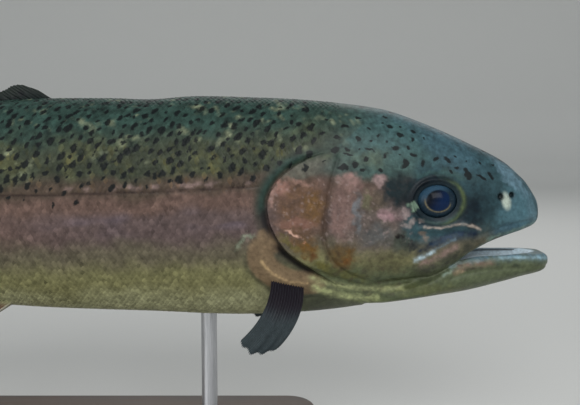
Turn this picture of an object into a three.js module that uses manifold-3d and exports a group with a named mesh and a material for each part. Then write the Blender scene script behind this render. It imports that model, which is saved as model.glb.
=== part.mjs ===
// A life-size model of an adult rainbow trout, held up by a plain display stand.
//
// Sizes are millimetres and +Z is up. The origin is the middle of the underside of the stand's
// base. The trout faces +X. Its shapes are worked out in its own terms: d is the distance behind
// the tip of the snout, y is to its left, and z is the height above its long axis.

import * as THREE from 'three';
import { LoftGeometry } from 'three/addons/geometries/LoftGeometry.js';
import { mergeVertices } from 'three/addons/utils/BufferGeometryUtils.js';
import Module from 'manifold-3d';

const wasm = await Module();
wasm.setup();

// ---------------------------------------------------------------- driving dimensions

const BODY_LENGTH = 508; // snout to the end of the flesh, between the tail fin's rays
const NOSE_X = 245; // the snout's place along X
const AXIS_Z = 131; // the long axis above the ground
const TAIL_SWAY = 26; // how far the tail's tip swings to the left
const SWAY_START = 200; // where the body starts to bend
const SWAY_SPAN = 380; // from there to the tail's tip
const GAP = 0.3; // between pieces that touch
const SLIVER = 0.1; // detail smaller than this is merged away

const SNOUT_Z = -4; // height of the snout's tip
const SNOUT_TOP_RADIUS = 10; // how quickly the snout rounds off above, below and to the sides
const SNOUT_UNDER_RADIUS = 5;
const SNOUT_SIDE_RADIUS = 16;
const BLUNT = 0.15; // the snout's and the jaw's very tips end in a small flat

const JAW_TIP = -5.5; // the lower jaw reaches past the snout
const JAW_END = 84;
const JAW_SIDE_RADIUS = 10;
const JAW_TIP_RADIUS = 5;
const JAW_SPLIT = 57.6; // behind this the lower jaw belongs to the throat

const EYE = { d: 54.3, z: 4, y: 15.6, radii: [10.8, 7, 9.2] };
const ORBIT = { d: 54.3, z: 4, y: 22.4, radii: [12, 3.6, 10.3] }; // the dish that the eye looks out of

const MOUTH = { d: 33, z: -20, radii: [31, 12.5, 10.5] };
const TONGUE = { top: -26.6, rise: -1.5, root: 70, tip: 9, share: { along: 0.8, across: 0.72, up: 0.94 } };

const MAXILLA = {
  start: 25, end: 66, // from its front end, up under the snout, to the end of its paddle
  thick: 3.4, sink: 1.4, half: 3.8, flare: 2.4,
  blunt: 0.13, // the share of its length over which each end rounds off
  bands: 11, sides: 10,
};
const COVER_RAISE = 1.1; // how far a gill cover stands proud of the shoulder
const COVER_DEPTH = 4; // how deep it reaches into the head
const COVER_MARGIN = 3; // how far it stays from the fish's middle plane

const TRUNK_SPLIT = { front: 60, middle: 235, rear: 352 };

const SECTORS = 28; // faces round the body
const BODY_STATIONS = { count: 38, crowding: 1.45 };
const JAW_STATIONS = { count: 13, crowding: 1.5 };
const BALL_FACES = { round: 18, tall: 10 };
const FAR = 200; // longer than the fish is wide or tall

// ---------------------------------------------------------------- curves

/** A smooth curve without overshoot through points [at, value]. */
function profile(points) {
  const steps = points.slice(1).map(([x, v], i) => (v - points[i][1]) / (x - points[i][0]));
  const slopes = points.map((_, i) => {
    if (i === 0) return steps[0];
    if (i === points.length - 1) return steps[i - 1];
    const [before, after] = [steps[i - 1], steps[i]];
    return before * after <= 0 ? 0 : (2 * before * after) / (before + after);
  });
  return (x) => {
    if (x <= points[0][0]) return points[0][1];
    if (x >= points.at(-1)[0]) return points.at(-1)[1];
    const i = points.findIndex(([at]) => at > x) - 1;
    const width = points[i + 1][0] - points[i][0];
    const t = (x - points[i][0]) / width;
    return (
      points[i][1] * (1 + 2 * t) * (1 - t) ** 2 +
      slopes[i] * width * t * (1 - t) ** 2 +
      points[i + 1][1] * t * t * (3 - 2 * t) +
      slopes[i + 1] * width * t * t * (t - 1)
    );
  };
}

/** Grows from 0 to 1 as a quarter circle, over a radius. */
const rounded = (x, radius) => (x >= radius ? 1 : Math.sqrt(Math.max(0, 1 - (1 - x / radius) ** 2)));

const backLine = profile([
  [0, 7.5], [3, 8.6], [9, 13.5], [19, 22], [34, 29.8], [59, 40.8], [79, 47.5], [99, 50.4],
  [134, 53.2], [169, 54.2], [194, 52.6], [215, 53.2], [240, 53.2], [290, 50], [350, 41.5],
  [400, 33], [440, 27], [468, 24.5], [500, 25.5], [508, 26.5],
]);
const bellyLine = profile([
  [-6, -31], [-1, -33], [9, -35.5], [19, -38.3], [39, -43], [59, -45.5], [79, -48.8],
  [99, -52], [119, -54], [149, -55.2], [194, -53.5], [244, -51.8], [290, -48.4], [350, -40],
  [400, -29.5], [435, -23.5], [468, -20.8], [500, -22.5], [508, -23.5],
]);
const headFloor = profile([
  [0, -11], [7, -10.4], [12, -11], [17, -12], [22, -13.4], [27, -15.2], [32, -17.8],
  [38, -20.6], [48, -28.5], [57, -34], [66, -39], [76, -44], [88, -50.2],
]);
const HEAD_FLOOR_END = 88;
const lowerLip = profile([
  [-6, -24.2], [0, -23], [20, -22.5], [30, -22.9], [40, -25.4], [48, -29.2], [56, -34], [84, -44],
]);
const halfWidth = profile([
  [0, 12], [10, 14.2], [19, 16.4], [34, 18.8], [52, 20.8], [69, 23.6], [99, 27], [134, 29],
  [170, 30.8], [230, 31.2], [300, 28], [350, 23], [400, 17], [440, 12.4], [468, 9.8], [490, 7.6],
  [500, 5.6], [508, 3],
]);
const jawHalfWidth = profile([[-6, 9], [5, 11], [20, 13.5], [40, 16.5], [57, 18.2], [70, 15.5], [84, 9]]);
const maxillaLine = profile([[25, -12.6], [35, -15.4], [43, -19.8], [51, -23.9], [59, -28.3], [66, -31]]);
const widestZ = profile([[0, -4], [20, -3], [50, 1], [100, 5], [170, 4], [350, 2], [500, 1.5]]);
const upperPower = profile([[0, 2.2], [50, 2.6], [110, 2.3], [170, 2.1], [500, 2]]);
const lowerPower = profile([[0, 2.8], [20, 4.6], [50, 4.6], [64, 2.6], [90, 1.9], [150, 1.95], [500, 2]]);
const JAW_POWERS = { above: 3.4, below: 2 };

const sway = (d) => TAIL_SWAY * (Math.max(0, d - SWAY_START) / SWAY_SPAN) ** 2;
const place = (d, y, z) => new THREE.Vector3(NOSE_X - d, y + sway(d), z + AXIS_Z);

// ---------------------------------------------------------------- solids from three.js shapes

/** A closed three.js geometry as a manifold-3d solid, facing out. */
function solidOf(geometry) {
  const bare = geometry.index ? geometry.toNonIndexed() : geometry.clone();
  for (const name of ['normal', 'uv']) bare.deleteAttribute(name);
  const merged = mergeVertices(bare, 1e-4);
  const corners = merged.index.array;
  const kept = [];
  for (let i = 0; i < corners.length; i += 3) {
    const [a, b, c] = corners.slice(i, i + 3);
    if (a !== b && b !== c && c !== a) kept.push(a, b, c);
  }
  const build = (triangles) =>
    new wasm.Manifold(
      new wasm.Mesh({
        numProp: 3,
        vertProperties: new Float32Array(merged.attributes.position.array),
        triVerts: new Uint32Array(triangles),
      }),
    );
  const made = build(kept);
  if (made.volume() > 0) return made;
  for (let i = 0; i < kept.length; i += 3) [kept[i], kept[i + 1]] = [kept[i + 1], kept[i]];
  return build(kept);
}

/** A manifold-3d solid as a three.js geometry, without the slivers that cutting leaves. */
function geometryOf(solid) {
  const mesh = solid.simplify(SLIVER).getMesh();
  const places = new Float32Array(mesh.numVert * 3);
  for (let i = 0; i < mesh.numVert; i++) {
    places.set(mesh.vertProperties.subarray(i * mesh.numProp, i * mesh.numProp + 3), i * 3);
  }
  const geometry = new THREE.BufferGeometry();
  geometry.setAttribute('position', new THREE.BufferAttribute(places, 3));
  geometry.setIndex(new THREE.BufferAttribute(mesh.triVerts, 1));
  geometry.computeVertexNormals();
  return geometry;
}

const middleOf = (points) =>
  points.reduce((sum, point) => sum.add(point), new THREE.Vector3()).divideScalar(points.length);

/** A solid through a row of rings, whichever way round the rings go. */
function loftOf(sections) {
  const along = middleOf(sections[1]).sub(middleOf(sections[0]));
  const facing = new THREE.Vector3();
  sections[1].forEach((point, i, all) => facing.add(point.clone().cross(all[(i + 1) % all.length])));
  const wound = facing.dot(along) < 0 ? sections.map((section) => [...section].reverse()) : sections;
  return solidOf(new LoftGeometry(wound, { capStart: true, capEnd: true }));
}

/** Distances from start to end, packed closer towards the start. */
const stationsFrom = (start, end, { count, crowding }) =>
  Array.from({ length: count + 1 }, (_, i) => start + (end - start) * (i / count) ** crowding);

/** A ring round the fish at d: a rounded box section between its top, bottom and sides. */
function ring(d, { top, bottom, half, middle, above, below }) {
  return Array.from({ length: SECTORS }, (_, i) => {
    const angle = (i / SECTORS) * 2 * Math.PI;
    const [up, side] = [Math.cos(angle), Math.sin(angle)];
    const power = up >= 0 ? above : below;
    const reach = up >= 0 ? top - middle : middle - bottom;
    return place(
      d,
      half * Math.sign(side) * Math.abs(side) ** (2 / power),
      middle + reach * Math.sign(up) * Math.abs(up) ** (2 / power),
    );
  });
}

/** The outline seen from the side, pushed through the whole width of the fish. */
function throughSide(outline) {
  const shape = new THREE.Shape(outline.map(([d, z]) => new THREE.Vector2(NOSE_X - d, z + AXIS_Z)));
  const geometry = new THREE.ExtrudeGeometry(shape, { depth: FAR, bevelEnabled: false });
  return solidOf(geometry.rotateX(Math.PI / 2).translate(0, FAR / 2, 0));
}

/** The same, on one side of the fish only, from a little off its middle plane. */
function throughOneSide(outline, side) {
  const half = new THREE.BoxGeometry(10 * FAR, FAR / 2, 2 * FAR);
  return throughSide(outline).intersect(solidOf(half.translate(0, side * (FAR / 4 + COVER_MARGIN), AXIS_Z)));
}

function ellipsoid({ d, y = 0, z, radii }, grow = 0) {
  const [x, across, up] = radii.map((radius) => radius + grow);
  const ball = new THREE.SphereGeometry(1, BALL_FACES.round, BALL_FACES.tall).scale(x, across, up);
  const middle = place(d, y, z);
  return solidOf(ball.translate(middle.x, middle.y, middle.z));
}

// ---------------------------------------------------------------- body and jaws, whole

/** The fish from the snout to the tail's root, without its lower jaw, grown by a margin. */
function wholeBody(grow = 0, end = BODY_LENGTH) {
  return loftOf(
    stationsFrom(BLUNT, end, BODY_STATIONS).map((d) => {
      const floor = d < HEAD_FLOOR_END ? headFloor(d) : bellyLine(d);
      return ring(d, {
        top: SNOUT_Z + (backLine(d) - SNOUT_Z) * rounded(d, SNOUT_TOP_RADIUS) + grow,
        bottom: SNOUT_Z + (floor - SNOUT_Z) * rounded(d, SNOUT_UNDER_RADIUS) - grow,
        half: halfWidth(d) * rounded(d, SNOUT_SIDE_RADIUS) + grow,
        middle: widestZ(d),
        above: upperPower(d),
        below: lowerPower(d),
      });
    }),
  );
}

/** The lower jaw, from its tip to where it runs into the throat. */
function wholeJaw() {
  return loftOf(
    stationsFrom(JAW_TIP + BLUNT, JAW_END, JAW_STATIONS).map((d) => {
      const tip = d - JAW_TIP;
      const middle = (lowerLip(d) + bellyLine(d)) / 2;
      return ring(d, {
        top: middle + (lowerLip(d) - middle) * rounded(tip, JAW_TIP_RADIUS),
        bottom: middle + (bellyLine(d) - middle) * rounded(tip, JAW_TIP_RADIUS),
        half: jawHalfWidth(d) * rounded(tip, JAW_SIDE_RADIUS),
        middle,
        ...JAW_POWERS,
      });
    }),
  );
}

const body = wholeBody();
const bodyWithGap = wholeBody(GAP);
const core = wholeBody(-COVER_DEPTH, TRUNK_SPLIT.rear);
const coreWithGap = wholeBody(-COVER_DEPTH - GAP, TRUNK_SPLIT.rear);
const mouth = ellipsoid(MOUTH);

// ---------------------------------------------------------------- borders seen from the side

// The rear border of the head, from the nape round the gill cover to under the throat.
const GILL_EDGE = [
  [94, 70], [94, 33], [103, 29], [113, 26], [122, 21.5], [129, 16], [133.6, 9], [135, 3],
  [134, -5], [131, -12], [126, -19], [120, -24], [113.6, -28.3],
];
const THROAT_EDGE = [[104, -35], [96, -42], [86, -49], [78, -60]];
// The front border of the gill cover, down the cheek and forward under it.
const COVER_FRONT = [
  [105, 24.5], [105.6, 12], [106.2, 0], [104.6, -14], [100.5, -24], [93, -31.5], [84, -35.5],
];
const COVER_UNDER = [[92, -35.8], [104, -31.8]];
const THROAT_TOP = [[113.4, -28.9], [104, -32.3], [92, -36.3], [84, -36.2], [72, -34], [58, -33.5]];

const coverOutline = [...COVER_FRONT, ...COVER_UNDER, ...GILL_EDGE.slice(3).reverse()];
const headOutline = [[-20, 70], ...GILL_EDGE, ...THROAT_EDGE, [-20, -60]];
const throatOutline = [...THROAT_TOP, [THROAT_TOP.at(-1)[0], -60], ...[...THROAT_EDGE].reverse()];

/** A solid grown by the gap, by adding copies of it moved a little each way. */
function roomFor(solid) {
  const ways = Array.from({ length: 8 }, (_, i) => (i / 8) * 2 * Math.PI);
  return ways.reduce(
    (grown, way) => grown.add(solid.translate([GAP * Math.cos(way), 0, GAP * Math.sin(way)])),
    solid,
  );
}

const lengthBetween = (from, to) => [[from, FAR], [to, FAR], [to, -FAR], [from, -FAR]];

// ---------------------------------------------------------------- fins

const RAYS = 7;
const FIN_ROWS = 3;
const WEB = 0.55; // the web's thickness between the rays, as a share of theirs
const FIN_SINK = 2; // how deep a fin's foot sits in the flesh

/** A fin as a fan of ribs from its base, which runs from start to end, both [d, y, z]. */
function fin({ start, end, reach, angles, curl = 0, splay = 0, thick, cup = 0, onLine }) {
  const columns = 2 * RAYS;
  const out = new THREE.Vector3(0, Math.sin(splay), -Math.cos(splay));
  const across = new THREE.Vector3(0, Math.cos(splay), Math.sin(splay));
  const point = (u, v, side) => {
    const angle = THREE.MathUtils.degToRad(THREE.MathUtils.lerp(...angles, v) + curl * u);
    const length = reach(v) * u;
    const d = THREE.MathUtils.lerp(start[0], end[0], v) + length * Math.cos(angle);
    const drop = length * Math.sin(angle);
    const rib = Math.round(v * columns) % 2 ? WEB : 1;
    const lift = side * (rib * THREE.MathUtils.lerp(...thick, u)) / 2 + cup * u * u;
    const z = onLine ? onLine(THREE.MathUtils.lerp(start[0], end[0], v)) : THREE.MathUtils.lerp(start[2], end[2], v);
    const y = THREE.MathUtils.lerp(start[1], end[1], v);
    return place(d, y + out.y * drop + across.y * lift, z + out.z * drop + across.z * lift);
  };
  const sections = Array.from({ length: FIN_ROWS + 1 }, (_, row) => {
    const u = row / FIN_ROWS;
    const front = Array.from({ length: columns + 1 }, (_, i) => point(u, i / columns, 1));
    const back = Array.from({ length: columns + 1 }, (_, i) => point(u, 1 - i / columns, -1));
    return [...front, ...back];
  });
  return loftOf(sections);
}

// Angles are from straight back, and positive ones point down. A back fin's are negative.
const FINS = {
  dorsal_fin: {
    start: [239, 0, 0], end: [303, 0, 0], onLine: (d) => backLine(d) - FIN_SINK, angles: [-32, -34],
    reach: profile([[0, 11], [0.07, 15.6], [0.14, 15], [0.25, 11.5], [0.35, 9.2], [0.45, 14], [0.7, 27], [1, 22]]),
    thick: [4, 1.4],
  },
  adipose_fin: {
    start: [407, 0, 0], end: [424, 0, 0], onLine: (d) => backLine(d) - FIN_SINK, angles: [-44, -26],
    reach: profile([[0, 20], [0.5, 21], [1, 14]]), thick: [3.4, 1.4],
  },
  tail_fin: {
    start: [500, 0, 23.5], end: [500, 0, -20.5], angles: [-30, 30], thick: [4.4, 1],
    reach: (v) => 62 + 22 * (2 * v - 1) ** 2,
  },
  anal_fin: {
    start: [360, 0, 0], end: [411, 0, 0], onLine: (d) => bellyLine(d) + FIN_SINK, angles: [56, 40],
    reach: profile([[0, 30], [0.14, 48], [0.4, 40], [1, 22]]), thick: [4, 1],
  },
};

const PAIRED_FINS = {
  pectoral_fin: {
    start: [117.5, 18, -38], end: [133, 20.5, -34.5], angles: [94, 90], splay: 0.62, curl: -26,
    reach: profile([[0, 31], [0.2, 35], [0.6, 37], [1, 33]]), thick: [3.4, 0.9], cup: -4,
  },
  pelvic_fin: {
    start: [261, 9, -47.6], end: [276, 13, -45.6], angles: [38, 24], splay: 0.5, curl: -6,
    reach: profile([[0, 42], [0.25, 50], [0.6, 44], [1, 30]]), thick: [3.4, 0.9], cup: -2,
  },
};

/** A paired fin on one side, as the other side's mirror image. */
function pairedFin({ start, end, splay, cup, ...rest }, side) {
  const mirror = ([d, y, z]) => [d, y * side, z];
  return fin({ ...rest, start: mirror(start), end: mirror(end), splay: splay * side, cup: cup * side });
}

// ---------------------------------------------------------------- jaws, covers, eyes

/** The bar of the upper jaw along one side of the mouth, widening to a round paddle. */
function maxilla(side, grow = 0) {
  const { thick, sink, start, end, half, flare, blunt, bands, sides } = MAXILLA;
  const sections = stationsFrom(0, 1, { count: bands, crowding: 1 }).map((t) => {
    const d = start - grow + (end - start + 2 * grow) * t;
    const rounding = Math.min(rounded(t, blunt), rounded(1 - t, blunt));
    const tall = (half + flare * t) * Math.max(rounding, blunt) + grow;
    const deep = (thick / 2) * Math.max(rounding, 2 * blunt) + grow;
    const inner = halfWidth(d) - sink - grow;
    return Array.from({ length: sides }, (_, i) => {
      const angle = (i / sides) * 2 * Math.PI;
      return place(d, side * (inner + deep * (1 + Math.cos(angle))), maxillaLine(d) + tall * Math.sin(angle));
    });
  });
  return loftOf(sections);
}

const coverSides = [1, -1].map((side) => throughOneSide(coverOutline, side));
const coverRooms = coverSides.map(roomFor);
const headSide = throughSide(headOutline);
const headRoom = roomFor(headSide);
const throatSide = throughSide(throatOutline).intersect(headSide);
const throatRoom = roomFor(throatSide);
const maxillae = [1, -1].map((side) => maxilla(side));
const maxillaRooms = [1, -1].map((side) => maxilla(side, GAP + SLIVER));
const eyes = [1, -1].map((side) => ({ ...EYE, y: side * EYE.y }));

function gillCover(index) {
  return wholeBody(COVER_RAISE).intersect(coverSides[index]).subtract(core);
}

/** The upper head: skull, snout and cheeks, cut back from all that is let into it. */
function upperHead() {
  let made = body.intersect(headSide);
  for (const room of coverRooms) made = made.subtract(room.subtract(coreWithGap));
  for (const eye of eyes) made = made.subtract(ellipsoid(eye, GAP));
  for (const side of [1, -1]) made = made.subtract(ellipsoid({ ...ORBIT, y: side * ORBIT.y }));
  for (const room of maxillaRooms) made = made.subtract(room);
  return made.subtract(throatRoom).subtract(mouth);
}

function lowerJaw() {
  const front = throughSide(lengthBetween(-FAR, JAW_SPLIT));
  let made = wholeJaw().intersect(front).subtract(bodyWithGap).subtract(mouth);
  for (const room of maxillaRooms) made = made.subtract(room);
  return largest(made);
}

/** The throat and the gill membranes under it, with the rear of the jaw. */
function throat() {
  let made = body.add(wholeJaw()).intersect(throatSide).subtract(mouth);
  for (const room of maxillaRooms) made = made.subtract(room);
  return largest(made);
}

function tongue() {
  const { top, rise, root, tip, share } = TONGUE;
  const { d, z, radii: [along, across, up] } = MOUTH;
  const inside = ellipsoid({ d: d + 1, z, radii: [along * share.along, across * share.across, up * share.up] });
  return largest(inside.intersect(throughSide([[tip, top], [root, top + rise], [root, -FAR], [tip, -FAR]])));
}

const largest = (solid) => solid.decompose().sort((a, b) => b.volume() - a.volume())[0];

const lengthOf = (from, to) => largest(body.intersect(throughSide(lengthBetween(from, to))));

// ---------------------------------------------------------------- stand

const BASE = { length: 270, width: 112, height: 15, corner: 16, chamfer: 2 };
const ROD = { radius: 4, foot: 10, flange: 2, footHeight: 5, sides: 20 };
const RODS = { stand_rod_front: 165, stand_rod_rear: 330 };

function standBase() {
  const { length, width, height, corner, chamfer } = BASE;
  const [x, y] = [length / 2 - chamfer, width / 2 - chamfer];
  const shape = new THREE.Shape();
  shape.moveTo(-x + corner, -y);
  shape.lineTo(x - corner, -y).absarc(x - corner, -y + corner, corner, -Math.PI / 2, 0);
  shape.lineTo(x, y - corner).absarc(x - corner, y - corner, corner, 0, Math.PI / 2);
  shape.lineTo(-x + corner, y).absarc(-x + corner, y - corner, corner, Math.PI / 2, Math.PI);
  shape.lineTo(-x, -y + corner).absarc(-x + corner, -y + corner, corner, Math.PI, 1.5 * Math.PI);
  return new THREE.ExtrudeGeometry(shape, {
    depth: height - 2 * chamfer, curveSegments: 6, bevelThickness: chamfer, bevelSize: chamfer, bevelSegments: 1,
  }).translate(0, 0, chamfer);
}

/** A rod with a flanged foot, cut off where it meets the belly. */
function standRod(d) {
  const { radius, foot, flange, footHeight, sides } = ROD;
  const floor = BASE.height + GAP;
  const outline = [
    [0, floor], [foot, floor], [foot, floor + flange], [radius, floor + footHeight], [radius, AXIS_Z], [0, AXIS_Z],
  ];
  const turned = new THREE.LatheGeometry(outline.map(([r, z]) => new THREE.Vector2(r, z)), sides);
  const middle = place(d, 0, 0);
  return largest(solidOf(turned.rotateX(Math.PI / 2).translate(middle.x, middle.y, 0)).subtract(bodyWithGap));
}

// ---------------------------------------------------------------- materials

const COLOURS = {
  skin: ['#5c6655', 0.45], cheek: ['#8d7466', 0.4], jaw: ['#666f55', 0.42], fin: ['#4b4f45', 0.5],
  eye: ['#1d2b3c', 0.12], mouth: ['#b59a92', 0.5], base: ['#2b2826', 0.4], rod: ['#8d8f92', 0.3],
};

function material(name) {
  const [color, roughness] = COLOURS[name];
  return new THREE.MeshStandardMaterial({ color, roughness, metalness: name === 'rod' ? 0.9 : 0 });
}

// ---------------------------------------------------------------- the model

const trout = new THREE.Group();

function add(name, finish, geometry) {
  const mesh = new THREE.Mesh(geometry, material(finish));
  mesh.name = name;
  trout.add(mesh);
}

const addSolid = (name, finish, solid) => add(name, finish, geometryOf(solid));

addSolid('head', 'skin', largest(upperHead()));
addSolid('lower_jaw', 'jaw', lowerJaw());
addSolid('throat', 'jaw', throat());
addSolid('tongue', 'mouth', tongue());

for (const [index, name] of ['left', 'right'].entries()) {
  addSolid(`upper_jaw_${name}`, 'jaw', maxillae[index]);
  addSolid(`gill_cover_${name}`, 'cheek', largest(gillCover(index)));
  addSolid(`eye_${name}`, 'eye', ellipsoid(eyes[index]));
}

const { front, middle, rear } = TRUNK_SPLIT;
const frontLength = throughSide(lengthBetween(front, middle));
addSolid('trunk_front', 'skin', largest(body.intersect(frontLength).subtract(headRoom)));
addSolid('trunk_rear', 'skin', lengthOf(middle + GAP, rear));
addSolid('tail_stalk', 'skin', lengthOf(rear + GAP, BODY_LENGTH));

for (const [name, spec] of Object.entries(FINS)) {
  addSolid(name, 'fin', largest(fin(spec).subtract(bodyWithGap)));
}
for (const [name, spec] of Object.entries(PAIRED_FINS)) {
  addSolid(`${name}_left`, 'fin', largest(pairedFin(spec, 1).subtract(bodyWithGap)));
  addSolid(`${name}_right`, 'fin', largest(pairedFin(spec, -1).subtract(bodyWithGap)));
}

add('stand_base', 'base', standBase());
for (const [name, d] of Object.entries(RODS)) addSolid(name, 'rod', standRod(d));

export default trout;
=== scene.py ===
"""A life-size rainbow trout on a plain display stand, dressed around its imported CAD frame.

The trout's shapes are worked out in its own terms, in millimetres: d is the distance behind the tip
of the snout, y is to its left and z is the height above its long axis. place() turns them into the
frame's metres.
"""

import math

import bpy
import numpy as np
import openvdb
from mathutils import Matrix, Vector


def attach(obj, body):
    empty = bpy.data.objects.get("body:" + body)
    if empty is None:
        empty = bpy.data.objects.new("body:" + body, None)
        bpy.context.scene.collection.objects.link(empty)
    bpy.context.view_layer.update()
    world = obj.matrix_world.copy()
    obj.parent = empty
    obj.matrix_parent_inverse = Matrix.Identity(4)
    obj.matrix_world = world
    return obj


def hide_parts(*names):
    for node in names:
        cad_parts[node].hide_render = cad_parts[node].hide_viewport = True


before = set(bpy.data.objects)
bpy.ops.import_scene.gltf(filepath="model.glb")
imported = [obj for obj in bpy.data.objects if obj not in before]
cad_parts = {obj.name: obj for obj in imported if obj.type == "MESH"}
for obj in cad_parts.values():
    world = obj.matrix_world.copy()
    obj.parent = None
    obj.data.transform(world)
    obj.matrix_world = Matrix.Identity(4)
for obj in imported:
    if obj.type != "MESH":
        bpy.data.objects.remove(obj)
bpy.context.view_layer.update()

# ------------------------------------------------------------------ driving dimensions, in mm

MM = 0.001
BODY_LENGTH = 508  # to the end of the flesh, inside the root of the tail fin
NOSE_X = 245  # the snout's tip in the frame
AXIS_Z = 131  # the long axis's height in the frame
TAIL_SWAY = 26  # how far to the left the body has swayed at the end of the sway's span
SWAY_START = 200
SWAY_SPAN = 380
SCALE_DEPTH = 0.35  # the skin lies this far inside the solids where scales cover it

EYE = {"d": 54.3, "z": 4.0, "y": 15.6, "radii": (10.8, 7.0, 9.2)}
PUPIL = {"d": 53.7, "z": 4.5, "radii": (5.7, 4.9)}
EYE_GAP = 0.35  # between the eye and its socket
EYE_DISH = {"y": 22.6, "radii": (11.9, 3.3, 10.2)}  # the face's hollow round the eye
GILL_PLATE = 0.95  # the gill cover's thickness at its edge
GILL_RISE = 1.5  # how far the gill cover stands out
# Each is a middle, radii, and wider radii within which the skin has the lining's colour.
MOUTH_HOLLOWS = [
    ((33, 0, -20), (31, 12.2, 10.2), (32, 13.2, 11.4)),
    ((25, 0, -11.5), (19.5, 9.6, 5.2), (20.5, 10.6, 6.2)),
]
TONGUE = {"at": (33, 0, -30.4), "radii": (21, 7.2, 5.2)}
NOSTRILS = [((17.6, 6.6), 1.35), ((23.2, 5.8), 1.55)]  # middles (d, z) and radii
NOSTRIL_FLAP = (20.4, 3.6)

# The grid of the skin is even and fine in the head, and its lengthwise step grows behind it.
VOXEL = 0.5
TRUNK_STEP = 1.9
GROWTH_STEPS = 14
HEAD_END = 142
GRID_START, GRID_END = -9, BODY_LENGTH + 6
GRID_HALF_WIDTH = 36
GRID_LOW, GRID_HIGH = -59, 58
FIELD_LIMIT = 4.0  # distances from the surface are kept up to this
SURFACE_STEPS = 2  # how often each point of the skin is moved onto the surface

RANDOM = np.random.default_rng(7)


# ------------------------------------------------------------------ curves and noise


def profile(points):
    """A smooth curve without overshoot through points (at, value)."""
    at, value = np.array(points, float).T
    steps = np.diff(value) / np.diff(at)
    both = steps[:-1] * steps[1:]
    total = np.where(both > 0, steps[:-1] + steps[1:], 1)
    slopes = np.concatenate([steps[:1], np.where(both > 0, 2 * both / total, 0), steps[-1:]])

    def curve(x):
        x = np.clip(np.asarray(x, float), at[0], at[-1])
        i = np.clip(np.searchsorted(at, x, side="right") - 1, 0, len(at) - 2)
        width = at[i + 1] - at[i]
        t = (x - at[i]) / width
        return (
            value[i] * (1 + 2 * t) * (1 - t) ** 2
            + slopes[i] * width * t * (1 - t) ** 2
            + value[i + 1] * t * t * (3 - 2 * t)
            + slopes[i + 1] * width * t * t * (t - 1)
        )

    return curve


def rounded(x, radius):
    """Grows from 0 to 1 as a quarter circle, over a radius."""
    return np.sqrt(np.clip(1 - (1 - np.clip(x / radius, 0, 1)) ** 2, 0, 1))


def smooth(low, high, x):
    t = np.clip((np.asarray(x) - low) / (high - low), 0, 1)
    return t * t * (3 - 2 * t)


def bump(x, width):
    """1 at 0, falling to nothing within about twice the width."""
    return np.exp(-((x / width) ** 2))


def joined(a, b, radius):
    """The union of two fields, with a fillet."""
    h = np.clip(1 - np.abs(a - b) / radius, 0, 1)
    return np.minimum(a, b) - h * h * radius / 4


def cut(a, b, radius):
    """Field a without field b, with a rounded edge."""
    return -joined(-a, b, radius)


# Turns noise away from the axes, so that its cells never line up with the body.
ASLANT = np.array([[0.64, 0.60, 0.48], [-0.77, 0.48, 0.42], [0.02, -0.64, 0.77]])
HASH = np.array([374761393, 668265263, 1442695041])  # large odd numbers that scatter a cell's place
HASH_AGAIN = 1274126177
CELL_CORNERS = [(corner & 1, corner >> 1 & 1, corner >> 2 & 1) for corner in range(8)]


def noise(points, size, seed=0):
    """Smooth random values from -1 to 1 in lumps of about a size, at points (n, 3)."""
    p = np.asarray(points, float) @ ASLANT / size + seed * 17.31
    cell = np.floor(p).astype(np.int64)
    t = p - cell
    t = t * t * (3 - 2 * t)
    total = 0
    for corner in CELL_CORNERS:
        h = ((cell + corner) @ HASH + seed * 97) & 0xFFFFFFFF
        h = ((h ^ (h >> 13)) * HASH_AGAIN) & 0xFFFFFFFF
        value = ((h ^ (h >> 16)) & 0xFFFF) / 32767.5 - 1
        total = total + value * np.prod(np.where(corner, t, 1 - t), axis=1)
    return total


def noises(points, *layers):
    """The sum of layers of noise, each a strength, a size and a seed."""
    return sum(strength * noise(points, size, seed) for strength, size, seed in layers)


def bilinear(table, u, v):
    """Values between those of a table, u down it and v across it."""
    i, j = u.astype(int), v.astype(int)
    u, v = u - i, v - j
    if table.ndim == 3:
        u, v = u[..., None], v[..., None]
    low = table[i, j] * (1 - u) + table[i + 1, j] * u
    return low * (1 - v) + (table[i, j + 1] * (1 - u) + table[i + 1, j + 1] * u) * v


# ------------------------------------------------------------------ the body's sections


back_line = profile([
    (0, 7.5), (3, 8.6), (9, 13.5), (19, 22), (34, 29.8), (59, 40.8), (79, 47.5), (99, 50.4),
    (134, 53.2), (169, 54.2), (194, 52.6), (215, 53.2), (240, 53.2), (290, 50), (350, 41.5),
    (400, 33), (440, 27), (468, 24.5), (500, 25.5), (508, 26.5),
])
belly_line = profile([
    (-6, -31), (-1, -33), (9, -35.5), (19, -38.3), (39, -43), (59, -45.5), (79, -48.8),
    (99, -52), (119, -54), (149, -55.2), (194, -53.5), (244, -51.8), (290, -48.4), (350, -40),
    (400, -29.5), (435, -23.5), (468, -20.8), (500, -22.5), (508, -23.5),
])
head_floor = profile([
    (0, -12.2), (7, -11.6), (12, -12.3), (17, -13.5), (22, -15.2), (27, -17.3), (32, -20),
    (38, -23.6), (48, -31), (57, -35.5), (66, -39.6), (76, -44), (88, -50.2),
])
HEAD_FLOOR_END = 88
lower_lip = profile([
    (-6, -24.2), (0, -23), (20, -22.5), (30, -22.9), (40, -25.4), (48, -29.2), (56, -34), (84, -44),
])
half_width = profile([
    (0, 12), (10, 14.2), (19, 16.4), (34, 18.8), (52, 20.8), (69, 23.6), (99, 27), (134, 29),
    (170, 30.8), (230, 31.2), (300, 28), (350, 23), (400, 17), (440, 12.4), (468, 9.8),
    (490, 7.6), (500, 5.6), (508, 3),
])
jaw_half_width = profile([(-6, 9), (5, 11), (20, 13.5), (40, 16.5), (57, 18.2), (70, 15.5), (84, 9)])
widest_z = profile([(0, -4), (20, -3), (50, 1), (100, 5), (170, 4), (350, 2), (500, 1.5)])
upper_power = profile([(0, 2.2), (50, 2.6), (110, 2.3), (170, 2.1), (500, 2)])
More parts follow.
